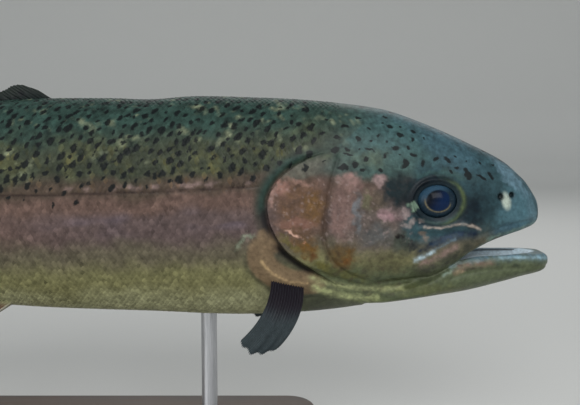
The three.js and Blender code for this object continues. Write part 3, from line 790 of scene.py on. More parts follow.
# Each is a middle (d, z), radii, a turn in degrees, a colour and a strength, laid on in this order.
HEAD_PATCHES = {
    "crown": ((79.2, 33.1), (28.5, 10.5), 12, (60, 88, 87), 0.8),
    "crown_front": ((47.4, 28.1), (19.3, 7.7), 30, (60, 88, 98), 0.8),
    # Dark teal behind the eye, partly the skin's colour and partly painted shade.
    "shade_behind_eye_core": ((68.6, 10), (5.6, 5.4), 0, (26, 42, 46), 1),
    "temple_olive": ((85.6, 24.7), (7.5, 4.7), 0, (88, 102, 84), 0.6),
    "snout": ((12.9, -0.9), (11.6, 12.5), 0, (72, 104, 114), 0.95),
    "snout_ridge": ((16.4, 14.4), (12.6, 2.9), 45, (104, 134, 148), 0.8),
    "snout_tip": ((5.8, -2.3), (2.9, 5.9), -10, (96, 126, 138), 0.7),
    "snout_side": ((19.7, -10), (9.6, 3.4), -14, (52, 78, 90), 0.8),
    "muzzle": ((33.2, 2), (9.6, 11.5), 0, (30, 52, 58), 0.95),
    "brow": ((52.9, 16), (16.2, 2.4), 4, (54, 78, 76), 0.8),
    "cheek": ((85.3, -6.8), (14.1, 16.9), 0, (98, 88, 82), 0.95),
    "cheek_brown": ((83.6, 5.1), (5.6, 5.6), 0, (92, 80, 66), 0.8),
    "cheek_grey": ((83.3, -12.2), (8.5, 6.1), 0, (84, 86, 86), 0.85),
    "cheek_green": ((70.7, -16.3), (6.2, 6.6), 0, (62, 68, 58), 0.8),
    "cheek_low": ((78.4, -26.3), (13.3, 5.7), 0, (88, 86, 60), 0.85),
    "corner_low": ((55.8, -39.6), (17.0, 4.0), 0, (92, 96, 62), 0.7),
    # Behind the eye: dark teal skin deepened by painted shade, and a near-black painted shadow at the eye's
    # rear edge.
    "shade_behind_eye": ((73.2, 9.7), (9.6, 8.6), 20, (24, 38, 42), 1),
    "shade_behind_eye_low": ((69.3, 4.9), (3.8, 3.3), 0, (18, 24, 28), 0.85),
    # A dark band of painted shadow above the eye, under the brow.
    "shadow_above_eye": ((57.7, 13.7), (9.5, 2.1), 0, (14, 20, 28), 0.9),
    "eye_under": ((54.5, -5.4), (10.4, 2.4), 0, (30, 46, 56), 0.9),
    "lore": ((37.1, -1.3), (6.6, 7.8), 0, (5, 22, 31), 0.95),
    "preopercle": ((100.1, -1.3), (5.6, 13.1), 2, (124, 100, 94), 0.95),
    "preopercle_top": ((96, 13.7), (6.1, 3.7), 10, (144, 115, 109), 0.85),
    "preopercle_fleck": ((82.8, 14.5), (3.1, 2.6), 15, (146, 124, 122), 0.9),
    "preopercle_grey": ((93, -1.4), (1.9, 10.3), 0, (108, 112, 116), 0.75),
    "preopercle_olive": ((88.4, 4.7), (2.1, 5.2), 0, (100, 98, 74), 0.8),
    "blush": ((77.8, -2.1), (5.6, 3.1), 4, (138, 111, 114), 0.9),
    "blush_core": ((80.7, -3.5), (1.9, 1.4), 0, (180, 148, 152), 0.4),
    "fleck_a": ((69.7, -1.3), (2.4, 2.1), -20, (158, 140, 138), 0.8),
    "fleck_b": ((66.7, -6.6), (2.4, 1.9), 0, (150, 138, 134), 0.75),
    "fleck_c": ((62.3, -5.2), (1.2, 0.9), 0, (170, 156, 150), 0.7),
    "fleck_d": ((60.2, -12.5), (2.8, 1.9), 0, (118, 104, 92), 0.8),
    "orange": ((98.8, -21.9), (6.6, 6.6), 0, (94, 71, 38), 0.95),
    "orange_dark": ((96.8, -24.9), (2.4, 2.4), 0, (96, 62, 28), 0.6),
    "jowl": ((97.6, -31.2), (12.4, 3.3), 10, (84, 84, 46), 0.8),
    "cover": ((119.3, -0.3), (12.6, 15.9), 0, (103, 78, 60), 1),
    "cover_top": ((117, 19.3), (10.3, 3.3), -22, (96, 96, 86), 0.85),
    "cover_rose": ((128.2, 11.5), (4.2, 4.2), -40, (142, 107, 96), 0.85),
    "cover_edge": ((132.4, 7.3), (1.4, 5.6), 12, (160, 128, 118), 0.7),
    "cover_crown": ((119.3, 13.8), (5.6, 1.9), 20, (150, 118, 106), 0.7),
    "cover_gold": ((112.8, 2.5), (5.1, 6.5), 0, (110, 82, 48), 0.85),
    "cover_band": ((121.2, -5.5), (8.4, 2.8), 4, (126, 93, 81), 0.9),
    "cover_low": ((116.9, -17.2), (6.6, 4.7), 35, (102, 74, 34), 0.95),
    "cover_rim": ((124, -15.1), (6.6, 1.9), 42, (100, 92, 50), 0.85),
    "cover_stain": ((114, -22.2), (2.4, 1.9), 0, (92, 58, 26), 0.9),
    "cover_rim_low": ((108.7, -26.8), (4.7, 1.9), 30, (92, 88, 44), 0.8),
    "cover_streak": ((122.6, -10.3), (2.8, 0.7), 24, (214, 172, 152), 0.9),
    "cover_streak_low": ((116.5, -13.7), (1.9, 0.6), 0, (170, 120, 96), 0.7),
    "mark_spot": ((72.8, -12.8), (1.6, 1.6), 0, (16, 14, 14), 1),
    "mark_dark": ((65.8, -17.3), (2.4, 2.1), 0, (34, 38, 38), 0.9),
}
SHOULDER_PATCHES = {
    "shoulder_mark": ((147.5, -14.5), (1.6, 3.7), 30, (126, 136, 116), 0.65),
    "shoulder_mark_top": ((143.2, -11.6), (3.7, 1.2), 8, (128, 138, 118), 0.65),
}

HEAD_COLOUR_END = 158  # the d behind which only the trunk's colours show

# Each is a line (d, z) in the side view, its half width, a colour and a strength.
HEAD_STROKES = {
    "maxilla": ([(31, -14.2), (43, -19.8), (51, -23.9), (59, -28.5)], 5.4, (72, 72, 60), 0.9),
    "maxilla_blush": ([(45, -18), (51, -21.4), (57, -24.6), (61, -26)], 1.8, (138, 116, 108), 0.8),
    "maxilla_dark": ([(37, -18), (45, -23.4), (52, -27.6), (58, -30.4)], 2.0, (52, 54, 46), 0.7),
    "maxilla_under": ([(27, -15.6), (33, -19.4), (38, -22.8), (43, -27), (47, -30.6), (50, -32.6)], 0.7,
                      (124, 142, 128), 0.85),
    # The groove above the upper jaw: bluish skin darkened with painted shade.
    "shaded_groove_over_maxilla": ([(62, -20.5), (54, -15.4), (46, -12.4), (36, -11.8)], 2.2, (20, 36, 54), 0.95),
    "shaded_groove_over_maxilla_paler": ([(56, -17.2), (48, -13.6), (42, -12)], 1.2, (44, 68, 92), 0.6),
    # A painted highlight along the upper edge of the upper jaw's bar, thick at the rear and thin at the
    # front.
    "highlight_on_maxilla": ([(64, -24.8), (59, -21.8), (56, -20)], 1.0, (180, 202, 212), 0.95),
    "highlight_on_maxilla_front": ([(55, -19.2), (49, -16.2), (45, -14.4)], 0.6, (104, 126, 138), 0.6),
    "under_eye_dark": ([(60, -6.6), (50, -7), (43, -5.6), (36, -6.8)], 0.9, (14, 26, 36), 0.7),
    # A painted highlight on the cream line along the fold below the eye.
    "ridge_highlight_below_eye": ([(60, -8.2), (52.5, -8.8), (47, -7.8), (43.8, -7), (38, -7.6), (33, -9.6)], 0.62,
                  (176, 162, 150), 0.85),
    "snout_lip": ([(1, -7.5), (10, -9.5), (20, -12), (29, -15)], 1.0, (112, 138, 128), 0.7),
    "jaw_lip": ([(-4.5, -25), (4, -23.6), (20, -23), (36, -24.4)], 2.4, (100, 128, 142), 0.9),
    "jaw_lip_edge": ([(-5, -25.6), (4, -24.6), (22, -24.4)], 0.8, (150, 180, 192), 0.6),
    "jaw_corner": ([(46, -28.6), (40, -26.4), (33, -25.6)], 0.9, (140, 160, 162), 0.75),
    "jaw_fold": ([(42, -28.2), (34, -27.2), (26, -26.6)], 1.5, (122, 98, 84), 0.8),
    "jaw_fold_dark": ([(45, -29.8), (38, -29.4), (31, -29)], 0.7, (52, 48, 42), 0.7),
    "jaw_fleck": ([(44.5, -31), (41, -30.6)], 1.1, (158, 130, 108), 0.75),
    "jaw_spot": ([(14, -28.2), (12.6, -28.6)], 1.1, (46, 56, 46), 0.7),
    "jaw_spot_rear": ([(23.4, -27.8), (22.6, -28)], 0.9, (54, 64, 60), 0.6),
    "throat_stripe": ([(113, -33), (104, -36.2), (95, -38.4), (80, -39.6), (70, -39.4)], 1.6,
                      (168, 172, 124), 0.85),
    "throat_stripe_low": ([(112, -38), (104, -41.2), (93, -44), (82, -45)], 2.0, (176, 182, 130), 0.85),
    "lobe_edge": ([(137.5, -24), (132.5, -30.4), (124, -34.6), (116, -35.4)], 0.8, (178, 152, 112), 0.8),
}


def head_ground(colours, d, z, gap, wobble):
    """The broad fields of the head and of the shoulder's edge, laid over the trunk's colours."""
    head = smooth(127, 92, d + 0.35 * z + 1.5 * wobble)
    front = smooth(74, 66, d + 0.25 * z) * smooth(-13, -7, z + 0.1 * d)
    shoulder = smooth(0, -2, gap) * smooth(-5, -1, before_scales(d, z))
    lobe = smooth(7.6, 5.2, near_lobe(d, z)) * shoulder
    return painted(
        colours,
        ((78, 86, 62), head * smooth(-24, -30, z)),
        ((62, 84, 80), head * smooth(12, 18, z + wobble * 0.5)),
        ((48, 74, 80), head * front),
        ((60, 90, 98), head * smooth(24, 34, z) * smooth(100, 60, d)),
        ((84, 92, 68), smooth(60, 46, d) * smooth(-21, -24, z)),
        ((146, 154, 106), smooth(-44, -50, z) * smooth(120, 60, d) * 0.85),
        ((62, 62, 52), shoulder * smooth(26, 12, z) * 0.6),
        ((122, 102, 78), lobe * 0.9),
    )


def head_seams(colours, d, z, gap, drift, patchy):
    """The shadows behind the gill cover, the seam before it and the throat's edge."""
    behind = bump(gap + 2.4, 2.6) * (gap < 0.6) * smooth(-6, 2, z) * smooth(32, 24, z)
    shadow = bump(gap + 1.8, 2.0) * smooth(-15, -8, z) * smooth(4, -3, z)
    shadow = np.maximum(shadow, bump(gap + 1.6, 1.8) * smooth(-33, -29, z) * smooth(-14, -18, z))
    cover = before_cover(d, z)
    seam = bump(cover + 0.4 * drift[0], 1.9) * smooth(18, 12, z) * smooth(-34, -20, z) * (gap > 1)
    rim = bump(below_throat_top(d, z) + 0.3 * drift[1], 1.1) * smooth(60, 70, d) * (gap > 0)
    return painted(
        colours,
        ((34, 58, 52), behind * 0.9),
        ((22, 20, 24), shadow * 0.9 * (gap < 0.6)),
        ((66, 50, 38), 0.6 * seam * patchy),
        ((60, 62, 36), 0.4 * rim),
    )


def round_eye(colours, d, z, shiver, patchy):
    """A dark ring round the eye, painted shade in the gap of its socket behind it, and the lighter rim in
    front of the eye and below it.
    """
    ring = orbit_radius(d, z)
    # Painted shade in the gap between the eye and its socket, along the eye's upper rear edge.
    socket = bump(ring - 1.14, 0.17) * smooth(55, 62, d) * smooth(-3, 3, z)
    lit = bump(ring - 1.2 + 0.03 * shiver[0], 0.1) * smooth(56, 46, d) * smooth(17, 9, z)
    below = bump(ring - 1.13, 0.09) * smooth(0, -5, z) * smooth(64, 58, d)
    return painted(
        colours,
        ((16, 28, 36), smooth(1.5, 1.15, ring) * 0.85 * smooth(-14, -2, z)),
        ((14, 20, 26), socket * 0.75),
        ((92, 106, 70), lit * 0.8 * patchy),
        ((64, 84, 82), below * 0.7),
    )


def head_colour(colours, d, y, z, wobble):
    """The head's colours laid over the trunk's."""
    points = np.stack([d, y, z], -1)
    gap = before_gill_edge(d, z)
    on_head = smooth(-0.4, 0.4, gap)
    colours = head_ground(colours, d, z, gap, wobble)

    drift = noise(points, 3.4, 21), noise(points, 3.4, 22)
    shiver = noise(points, 1.3, 23), noise(points, 1.3, 24)
    patchy = 0.95 + noises(points, (0.26, 2.6, 25), (0.2, 1.1, 26))
    warped = d + 1.9 * drift[0] + 1.1 * shiver[0], z + 1.7 * drift[1] + 1.0 * shiver[1]
    for patches, within in ((HEAD_PATCHES, on_head), (SHOULDER_PATCHES, 1)):
        for at, radii, turn, colour, strength in patches.values():
            share = patch(*warped, at, radii, turn) * strength * patchy * within
            colours = painted(colours, (colour, share))
    broken = 0.62 + 0.38 * smooth(-0.35, 0.25, noises(points, (1, 2.1, 36), (0.5, 0.9, 37)))
    shaky = d + 0.45 * drift[0] + 0.4 * shiver[0], z + 0.45 * shiver[1]
    for line, width, colour, strength in HEAD_STROKES.values():
        away = to_line(np.array(line, float), *shaky)[0]
        colours = painted(colours, (colour, bump(away, width) * strength * patchy * broken))

    colours = head_seams(colours, d, z, gap, drift, patchy)
    colours = round_eye(colours, d, z, shiver, patchy)
    colours = painted(
        colours,
        ((124, 148, 128), patch(*warped, (65.3, 1.2), (2.3, 2.3)) * 0.9),
        ((190, 202, 188), patch(d, z, NOSTRIL_FLAP, (2.3, 4.2), -12) * 0.9),
        *(((12, 18, 22), patch(d, z, at, (radius * 1.2, radius * 1.3)) * 0.9) for at, radius in NOSTRILS),
    )
    unflecked = 1 - smooth(86, 78, d) * smooth(-2, 4, z)
    flecks = smooth(0.25, 0.8, noises(points, (0.7, 1.5, 6), (0.5, 0.8, 27)))
    flecks *= smooth(62, 70, d) * smooth(18, 13, z) * smooth(-20, -12, z) * (gap > 0) * unflecked
    deep = smooth(0.2, 0.8, noise(points, 2.4, 7)) * smooth(20, 15, z) * smooth(62, 70, d)
    return painted(
        colours,
        ((166, 148, 144), flecks * 0.32),
        ((56, 46, 40), deep * 0.4 * (gap > 0) * unflecked),
    )


def inside_mouth(d, y, z):
    """1 on the walls of the mouth and the tongue, 0 on the skin."""
    within = np.min([oval_radius(d, y, z, at, radii) for at, _, radii in MOUTH_HOLLOWS], axis=0)
    return smooth(1.03, 0.97, within) * (np.abs(y) < 14)


def mouth_colour(d, y, z):
    lip = smooth(-30, -26, z) * smooth(-21, -23, z) * smooth(46, 34, d)
    # A thin painted shadow on the mouth's inner walls, just below the lower lip's edge.
    rim = bump(z + 24.1 + 0.05 * (d - 20), 0.5) * (np.abs(y) > 7) * smooth(44, 36, d)
    return painted(
        plain((112, 128, 134), len(d)),
        # The lining is darker toward the back of the mouth, in part painted shade.
        ((52, 40, 42), smooth(8, 40, d)),
        ((206, 224, 234), lip),
        ((26, 34, 42), rim * 0.85),
    )


def trunk_colour(points, line, wobble):
    """From the spotted back, down over the red band along a line, to the pale belly."""
    d = points[:, 0]
    q = line + wobble
    on_trunk = smooth(136, 146, d)
    olive = smooth(-0.1, 0.6, noises(points, (0.6, 3.6, 8), (0.5, 11, 28)))
    pale = smooth(0.25, 0.8, noises(points, (0.6, 2.2, 32), (0.5, 7, 33)))
    murk = smooth(0.2, 0.8, noises(points, (0.6, 2.0, 34), (0.5, 6, 35)))
    mauve = bump(line + 15, 4) * smooth(0.0, 0.7, noise(points * (0.4, 1, 1), 5, 9))
    seam = bump(line + 0.3 * noise(points, 2, 29), 0.65) * on_trunk
    broken = smooth(-0.1, 0.6, noises(points, (1, 2.6, 10), (0.4, 9, 30)))
    lit = bump(line - 2.2 + 0.6 * noise(points, 2, 31), 1.2) * broken * on_trunk
    return painted(
        plain((56, 62, 48), len(d)),
        ((86, 88, 58), olive * 0.6 * smooth(36, 24, q)),
        ((45, 69, 63), smooth(16, 32, q) * 0.9),
        ((134, 140, 112), pale * 0.7 * smooth(4, 10, q)),
        ((18, 29, 28), murk * 0.85 * smooth(4, 10, q)),
        ((78, 66, 56), smooth(9, 2, q)),
        ((100, 80, 72), smooth(0, -5, q)),
        ((92, 78, 76), smooth(-6, -13, q) * smooth(300, 200, d)),
        ((94, 88, 72), smooth(-20, -31, q)),
        ((118, 116, 80), smooth(-30, -42, q)),
        ((150, 150, 116), smooth(-44, -58, q)),
        ((100, 92, 108), mauve * 0.4 * smooth(128, 145, d) * smooth(260, 200, d)),
        ((40, 28, 26), seam * 0.75),
        ((160, 136, 132), lit * 0.5 * smooth(250, 205, d)),
    )


def skin_colour(d, y, z):
    """The trout's colour at points of its skin or scales."""
    points = np.stack([d, y, z], -1)
    wobble = noises(points, (3, 15, 1), (1.6, 5, 2))
    line = z - lateral_line(d)
    colours = trunk_colour(points, line, wobble)
    fore = d < HEAD_COLOUR_END
    colours[fore] = head_colour(colours[fore], d[fore], y[fore], z[fore], wobble[fore])
    contrast = 1 + 0.8 * smooth(-2, 6, line + wobble)
    mottle = 1 + contrast * noises(points, (0.2, 2.3, 12), (0.14, 1.0, 13))
    colours = colours * mottle[:, None]
    gums = inside_mouth(d, y, z)[:, None]
    return colours * (1 - gums) + mouth_colour(d, y, z) * gums


# ------------------------------------------------------------------ materials


SPOT_COLOUR = (10, 16, 18)
SPOT_RAGGED = 0.7
SPOT_OUTSIDE, SPOT_INSIDE = 1.1, 1.6
SPOT_SHARE = 0.94


def new_material(name):
    material = bpy.data.materials.new(name)
    material.use_nodes = True
    nodes = material.node_tree.nodes
    return material, nodes, material.node_tree.links, nodes["Principled BSDF"]


def add_node(nodes, kind, **values):
    """A shader node with its properties and, by name, its inputs set."""
    node = nodes.new(kind)
    for key, value in values.items():
        if hasattr(node, key):
            setattr(node, key, value)
        else:
            node.inputs[key.replace("_", " ")].default_value = value
    return node


def noise_node(nodes, links, place_node, scale, detail=4.0, roughness=0.6):
    node = add_node(nodes, "ShaderNodeTexNoise", Scale=scale, Detail=detail, Roughness=roughness)
    links.new(place_node.outputs["Object"], node.inputs["Vector"])
    return node


def ranged(nodes, links, source, low, high):
    """The middle half of a noise's values, stretched between two others."""
    node = add_node(nodes, "ShaderNodeMapRange", From_Min=0.25, From_Max=0.75, To_Min=low, To_Max=high)
    links.new(source, node.inputs["Value"])
    return node.outputs["Result"]


def tinted(nodes, links, source):
    """The painted tint, made lighter and darker by a noise."""
    tint = add_node(nodes, "ShaderNodeVertexColor", layer_name="tint")
    shade = add_node(nodes, "ShaderNodeVectorMath", operation="SCALE")
    links.new(tint.outputs["Color"], shade.inputs[0])
    links.new(ranged(nodes, links, source, 0.75, 1.25), shade.inputs["Scale"])
    return shade.outputs[0]


def add_bumps(nodes, links, shader, height, strength, depth):
    """Relief from a height, with its depth in mm."""
    bumps = add_node(nodes, "ShaderNodeBump", Strength=strength, Distance=depth * MM)
    links.new(height, bumps.inputs["Height"])
    links.new(bumps.outputs["Normal"], shader.inputs["Normal"])


def living_material(name, lump, roughness, relief, coat):
    """Tinted, spotted flesh: mottled, with uneven gloss and fine relief in lumps of a size in mm."""
    material, nodes, links, shader = new_material(name)
    at = nodes.new("ShaderNodeTexCoord")
    coarse = noise_node(nodes, links, at, 1000 / lump)
    fine = noise_node(nodes, links, at, 3500 / lump, detail=3.0)

    # A spot is dark where "spots", made ragged, passes from outside to inside.
    near = add_node(nodes, "ShaderNodeAttribute", attribute_name="spots")
    ragged = add_node(nodes, "ShaderNodeMath", operation="MULTIPLY_ADD")
    links.new(fine.outputs["Fac"], ragged.inputs[0])
    ragged.inputs[1].default_value = SPOT_RAGGED
    links.new(near.outputs["Fac"], ragged.inputs[2])
    spot = add_node(nodes, "ShaderNodeMapRange", interpolation_type="SMOOTHSTEP",
                    From_Min=SPOT_OUTSIDE, From_Max=SPOT_INSIDE, To_Max=SPOT_SHARE)
    links.new(ragged.outputs[0], spot.inputs["Value"])
    paint = add_node(nodes, "ShaderNodeMix", data_type="RGBA")
    links.new(spot.outputs["Result"], paint.inputs["Factor"])
    links.new(tinted(nodes, links, coarse.outputs["Fac"]), paint.inputs[6])
    paint.inputs[7].default_value = (*linear(SPOT_COLOUR), 1)
    links.new(paint.outputs[2], shader.inputs["Base Color"])

    rough = ranged(nodes, links, fine.outputs["Fac"], roughness - 0.09, roughness + 0.09)
    links.new(rough, shader.inputs["Roughness"])
    heights = add_node(nodes, "ShaderNodeMath", operation="ADD")
    links.new(coarse.outputs["Fac"], heights.inputs[0])
    links.new(fine.outputs["Fac"], heights.inputs[1])
    add_bumps(nodes, links, shader, heights.outputs[0], relief, lump * 0.12)
    shader.inputs["Specular IOR Level"].default_value = 0.14
    shader.inputs["Coat Weight"].default_value = coat
    shader.inputs["Coat Roughness"].default_value = 0.3
    return material


# ------------------------------------------------------------------ pieces

FLESH_NODES = [
    "head", "lower_jaw", "throat", "tongue", "upper_jaw_left", "upper_jaw_right", "gill_cover_left",
    "gill_cover_right", "trunk_front", "trunk_rear", "tail_stalk",
]


def add_skin(material):
    corners, faces = flesh_mesh()
    d, y, z = corners.T
    points = place(d, y, z)
    skin = new_object("skin", points, facing_out(points, faces))
    set_colour(skin, "tint", skin_colour(d, y, z))
    set_value(skin, "spots", near_spot(d, y, z))
    skin.data.materials.append(material)
    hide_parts(*FLESH_NODES)
    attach(skin, "root")


SCALE_ROWS = 62
SCALE_PITCH = 2.5  # lengthwise, where the body is thickest
SCALE_LENGTH = 1.62  # of a scale, in pitches
SCALE_HALF = 0.9 / SCALE_ROWS
# A scale is a grid of points along and across it, which lie this far off the skin.
SCALE_ALONG = np.array([0, 0.34, 0.66, 0.93, 1.0])
SCALE_ACROSS = np.array([-1, -0.6, 0, 0.6, 1])
SCALE_LIFT = np.array([-0.3, 0.0, 0.09, 0.15, -0.04])
COAT_START, COAT_END = 98, 492
# Where the scales of the ridge and of the keel leave room for fins.
RIDGE_GAPS = [(235, 306), (404, 427)]
KEEL_GAP = (356, 414)
GILT = np.array([0.35, 0.22, 0.02])  # how much lighter a gilt scale of the back is, by channel
BAKE_SPAN = 520  # mm of the flank over the bake map's width
BAKE_PATCH = 0.003  # of the map, to a scale


def scale_columns():
    """The d of each column of scales, closer together where the body is slimmer."""
    columns = [float(COAT_START)]
    while columns[-1] < COAT_END + 4:
        girth = float(girth_at(columns[-1]))
        columns.append(columns[-1] + SCALE_PITCH * (girth / MAP_GIRTH.max()) ** 0.75)
    return np.array(columns)


def scale_roots():
    """Where each scale of a flank starts: d, share and the pitch to the next."""
    columns = scale_columns()
    pitch = np.diff(columns)
    i, j = np.meshgrid(np.arange(len(pitch)), np.arange(SCALE_ROWS), indexing="ij")
    d = columns[i] + np.where(j % 2, pitch[i] / 2, 0)
    share = (j + 0.5) / SCALE_ROWS
    d, share, pitch = d.ravel(), share.ravel(), pitch[i].ravel()
    z = flank_z(d, share)
    keep = (before_scales(d, z) < 0) | (d > 150)
    end = COAT_END - 0.012 * (z - 2) ** 2
    at_fins = [(share < 1.2 / SCALE_ROWS) & (d > start) & (d < stop) for start, stop in RIDGE_GAPS]
    at_fins.append((share > 1 - 1.2 / SCALE_ROWS) & (d > KEEL_GAP[0]) & (d < KEEL_GAP[1]))
    keep &= (d + pitch < end) & ~np.any(at_fins, axis=0)
    return d[keep], share[keep], pitch[keep]


def flank_point(d, share, lift):
    """Points (d, y, z) of the left flank with their relief, raised off it by a lift in mm."""
    def swayed(d, share):
        p = read_map(FLANK, d, share, 0, 1)
        p[..., 1] += sway(p[..., 0])
        return p

    at = swayed(d, share)
    along = swayed(d + 1, share) - swayed(d - 1, share)
    down = swayed(d, np.minimum(share + 0.006, 1)) - swayed(d, np.maximum(share - 0.006, 0))
    out = np.cross(along, down)
    out *= np.sign(np.where(np.abs(out[..., 1]) > 1e-6, out[..., 1], 1))[..., None]
    out /= np.linalg.norm(out, axis=-1, keepdims=True)
    lift = lift + shoulder_relief(at[..., 0], at[..., 2]) * smooth(0.3, 0.8, out[..., 1])
    at = at + out * lift[..., None]
    at[..., 1] -= sway(at[..., 0])
    return at


def scale_points(d0, share0, pitch, jitter):
    """Points (d, y, z) of the left flank's scales by (scale, along, across), no two quite alike."""
    along = SCALE_ALONG[None, :, None]
    across = SCALE_ACROSS[None, None, :]
    length = (SCALE_LENGTH * pitch * (1 + 0.05 * jitter[:, 0]))[:, None, None]
    half = (SCALE_HALF * (1 + 0.07 * jitter[:, 1]))[:, None, None]
    size = (pitch / SCALE_PITCH)[:, None, None]
    d = d0[:, None, None] + length * along * (1 - 0.3 * across**2)
    narrow = 0.82 + 0.18 * np.sin(np.pi * np.clip(along, 0, 0.9))
    share = share0[:, None, None] + half * across * narrow
    lift = SCALE_LIFT[None, :, None] - 0.1 * across**2 + 0.025 * jitter[:, 2, None, None]
    buried = smooth(9, 0, -before_scales(d0, flank_z(d0, share0))) * (d0 < 150)
    return flank_point(d, np.clip(share, 0, 1), lift * size - 0.12 * buried[:, None, None])


def scale_tones(d0, share0, jitter):
    """What the skin's colour is multiplied by, by (scale, along, across): a random shade, painted shade at
    each root and side, painted light toward each tip, and gilt on some.
    """
    z = flank_z(d0, share0)
    # Painted shade where a scale's root and sides lie under its neighbours, and painted light toward its
    # free tip.
    painted_scale_shading = 0.16 * (SCALE_ALONG[:, None] - 0.5) - 0.08 * SCALE_ACROSS**2
    shade = 1 + 0.12 * jitter[:, 0, None, None] + painted_scale_shading
    gilt = (jitter[:, 1] > 1.0) * smooth(36, 26, z) * smooth(8, 16, z)
    return shade[..., None] * (1 + gilt[:, None, None, None] * GILT)


def add_scales(name, side, part, material):
    d0, share0, pitch = part
    jitter = RANDOM.normal(0, 1, (len(d0), 3))
    p = scale_points(d0, share0, pitch, jitter)
    p[..., 1] *= side
    corners = p.reshape(-1, 3)
    points = place(*corners.T)
    grid = np.arange(SCALE_ALONG.size * SCALE_ACROSS.size).reshape(SCALE_ALONG.size, -1)
    one = np.stack([grid[:-1, :-1], grid[1:, :-1], grid[1:, 1:], grid[:-1, 1:]], -1).reshape(-1, 4)
    faces = (np.arange(len(d0))[:, None, None] * grid.size + one).reshape(-1, 4)
    a, b, c = (points[faces[:, i]] for i in range(3))
    if (np.cross(b - a, c - a)[:, 1] * side).sum() < 0:
        faces = faces[:, ::-1]
    scales = new_object(name, points, faces)
    set_colour(scales, "tint", skin_colour(*corners.T) * scale_tones(d0, share0, jitter).reshape(-1, 3))
    set_value(scales, "spots", near_spot(*corners.T))
    uv = scales.data.uv_layers.new(name="OFBake")
    u = (d0 / BAKE_SPAN)[:, None, None] + BAKE_PATCH * (SCALE_ALONG[:, None] - 0.5)
    v = (share0 * girth_at(d0) / BAKE_SPAN)[:, None, None] + BAKE_PATCH / 2 * SCALE_ACROSS
    uv_points = np.stack(np.broadcast_arrays(u, v), -1).reshape(-1, 2)
    loops = np.empty(len(scales.data.loops), np.int32)
    scales.data.loops.foreach_get("vertex_index", loops)
    uv.data.foreach_set("uv", uv_points[loops].astype(np.float32).ravel())
    scales.data.materials.append(material)
    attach(scales, "root")


# Where each piece of the coat starts and ends along the body.
COAT_PARTS = {"front": (90, 262), "middle": (262, 384), "rear": (384, 500)}


def add_coat(material):
    d, share, pitch = scale_roots()
    for side, side_name in ((1, "left"), (-1, "right")):
        for part_name, (start, end) in COAT_PARTS.items():
            chosen = (d >= start) & (d < end)
            part = (d[chosen], share[chosen], pitch[chosen])
            add_scales(f"scales_{part_name}_{side_name}", side, part, material)


EYE_RINGS, EYE_TURNS = 65, 96
LENS_BULGE = 0.4


def from_pupil(d, z):
    """How far along and up points lie from the pupil's middle, counted in its radii."""
    return (d - PUPIL["d"]) / PUPIL["radii"][0], (z - PUPIL["z"]) / PUPIL["radii"][1]


def add_eye(name, side):
    """A ball whose front bulges over the pupil, with its rings closest together there."""
    polar = math.pi * np.linspace(0, 1, EYE_RINGS) ** 1.3
    turn = np.linspace(0, 2 * math.pi, EYE_TURNS, endpoint=False)
    p, t = np.meshgrid(polar, turn, indexing="ij")
    rx, ry, rz = EYE["radii"]
    d = EYE["d"] + rx * np.sin(p) * np.cos(t)
    z = EYE["z"] + rz * np.sin(p) * np.sin(t)
    bulge = LENS_BULGE * smooth(1.25, 0.4, np.hypot(*from_pupil(d, z))) * (p < math.pi / 2)
    y = side * (EYE["y"] + ry * np.cos(p) + bulge)
    faces = ring_faces(np.arange(p.size).reshape(p.shape))
    corners = [at.ravel() for at in (d, y, z)]
    points = place(*corners)
    eye = new_object(name, points, facing_out(points, faces))
    set_colour(eye, "tint", eye_colour(*corners))
    eye.data.materials.append(eye_material(name))
    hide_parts(name)
    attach(eye, "root")


def eye_colour(d, y, z):
    along, up = from_pupil(d, z)
    r = np.hypot(along + 0.12 * np.minimum(along, 0) * bump(up, 0.5), up)
    turn = np.arctan2(up, along)
    points = np.stack([d, y, z], -1)
    streaks = np.sin(turn * 37 + 3 * np.sin(turn * 5)) * 0.5 + noise(points, 1.2, 5) * 0.6
    gold = bump(r - 1.12, 0.06) * smooth(0.1, -0.5, up - 0.2 * along)
    iris = painted(
        plain((26, 42, 54), len(d)),
        # A painted sheen lightens the iris's upper part.
        ((52, 82, 104), smooth(0.1, 1.3, up + 0.5 * along) * 0.8),
        ((50, 66, 74), 0.35 * smooth(0.1, 0.9, streaks)),
        ((12, 20, 28), smooth(1.5, 1.85, r) * 0.7),
        ((134, 122, 92), (0.7 + 0.3 * streaks) * gold),
    )
    # The pupil's deep blue is a painted reflection; it darkens toward the pupil's rear and top.
    pupil = painted(plain((8, 32, 66), len(d)), ((5, 11, 22), smooth(-0.5, 0.9, along + 0.5 * up)))
    inside = smooth(1.07, 0.95, r)[:, None]
    return iris * (1 - inside) + pupil * inside


def eye_material(name):
    """A wet, clear front over an iris with fine fibres."""
    material, nodes, links, shader = new_material(name)
    fibres = noise_node(nodes, links, nodes.new("ShaderNodeTexCoord"), 2400).outputs["Fac"]
    links.new(tinted(nodes, links, fibres), shader.inputs["Base Color"])
    links.new(ranged(nodes, links, fibres, 0.25, 0.45), shader.inputs["Roughness"])
    add_bumps(nodes, links, shader, fibres, 0.3, 0.1)
    shader.inputs["Specular IOR Level"].default_value = 0.05
    shader.inputs["Coat Weight"].default_value = 1.0
    shader.inputs["Coat IOR"].default_value = 1.2
    shader.inputs["Coat Roughness"].default_value = 0.16
    return material


# ------------------------------------------------------------------ fins

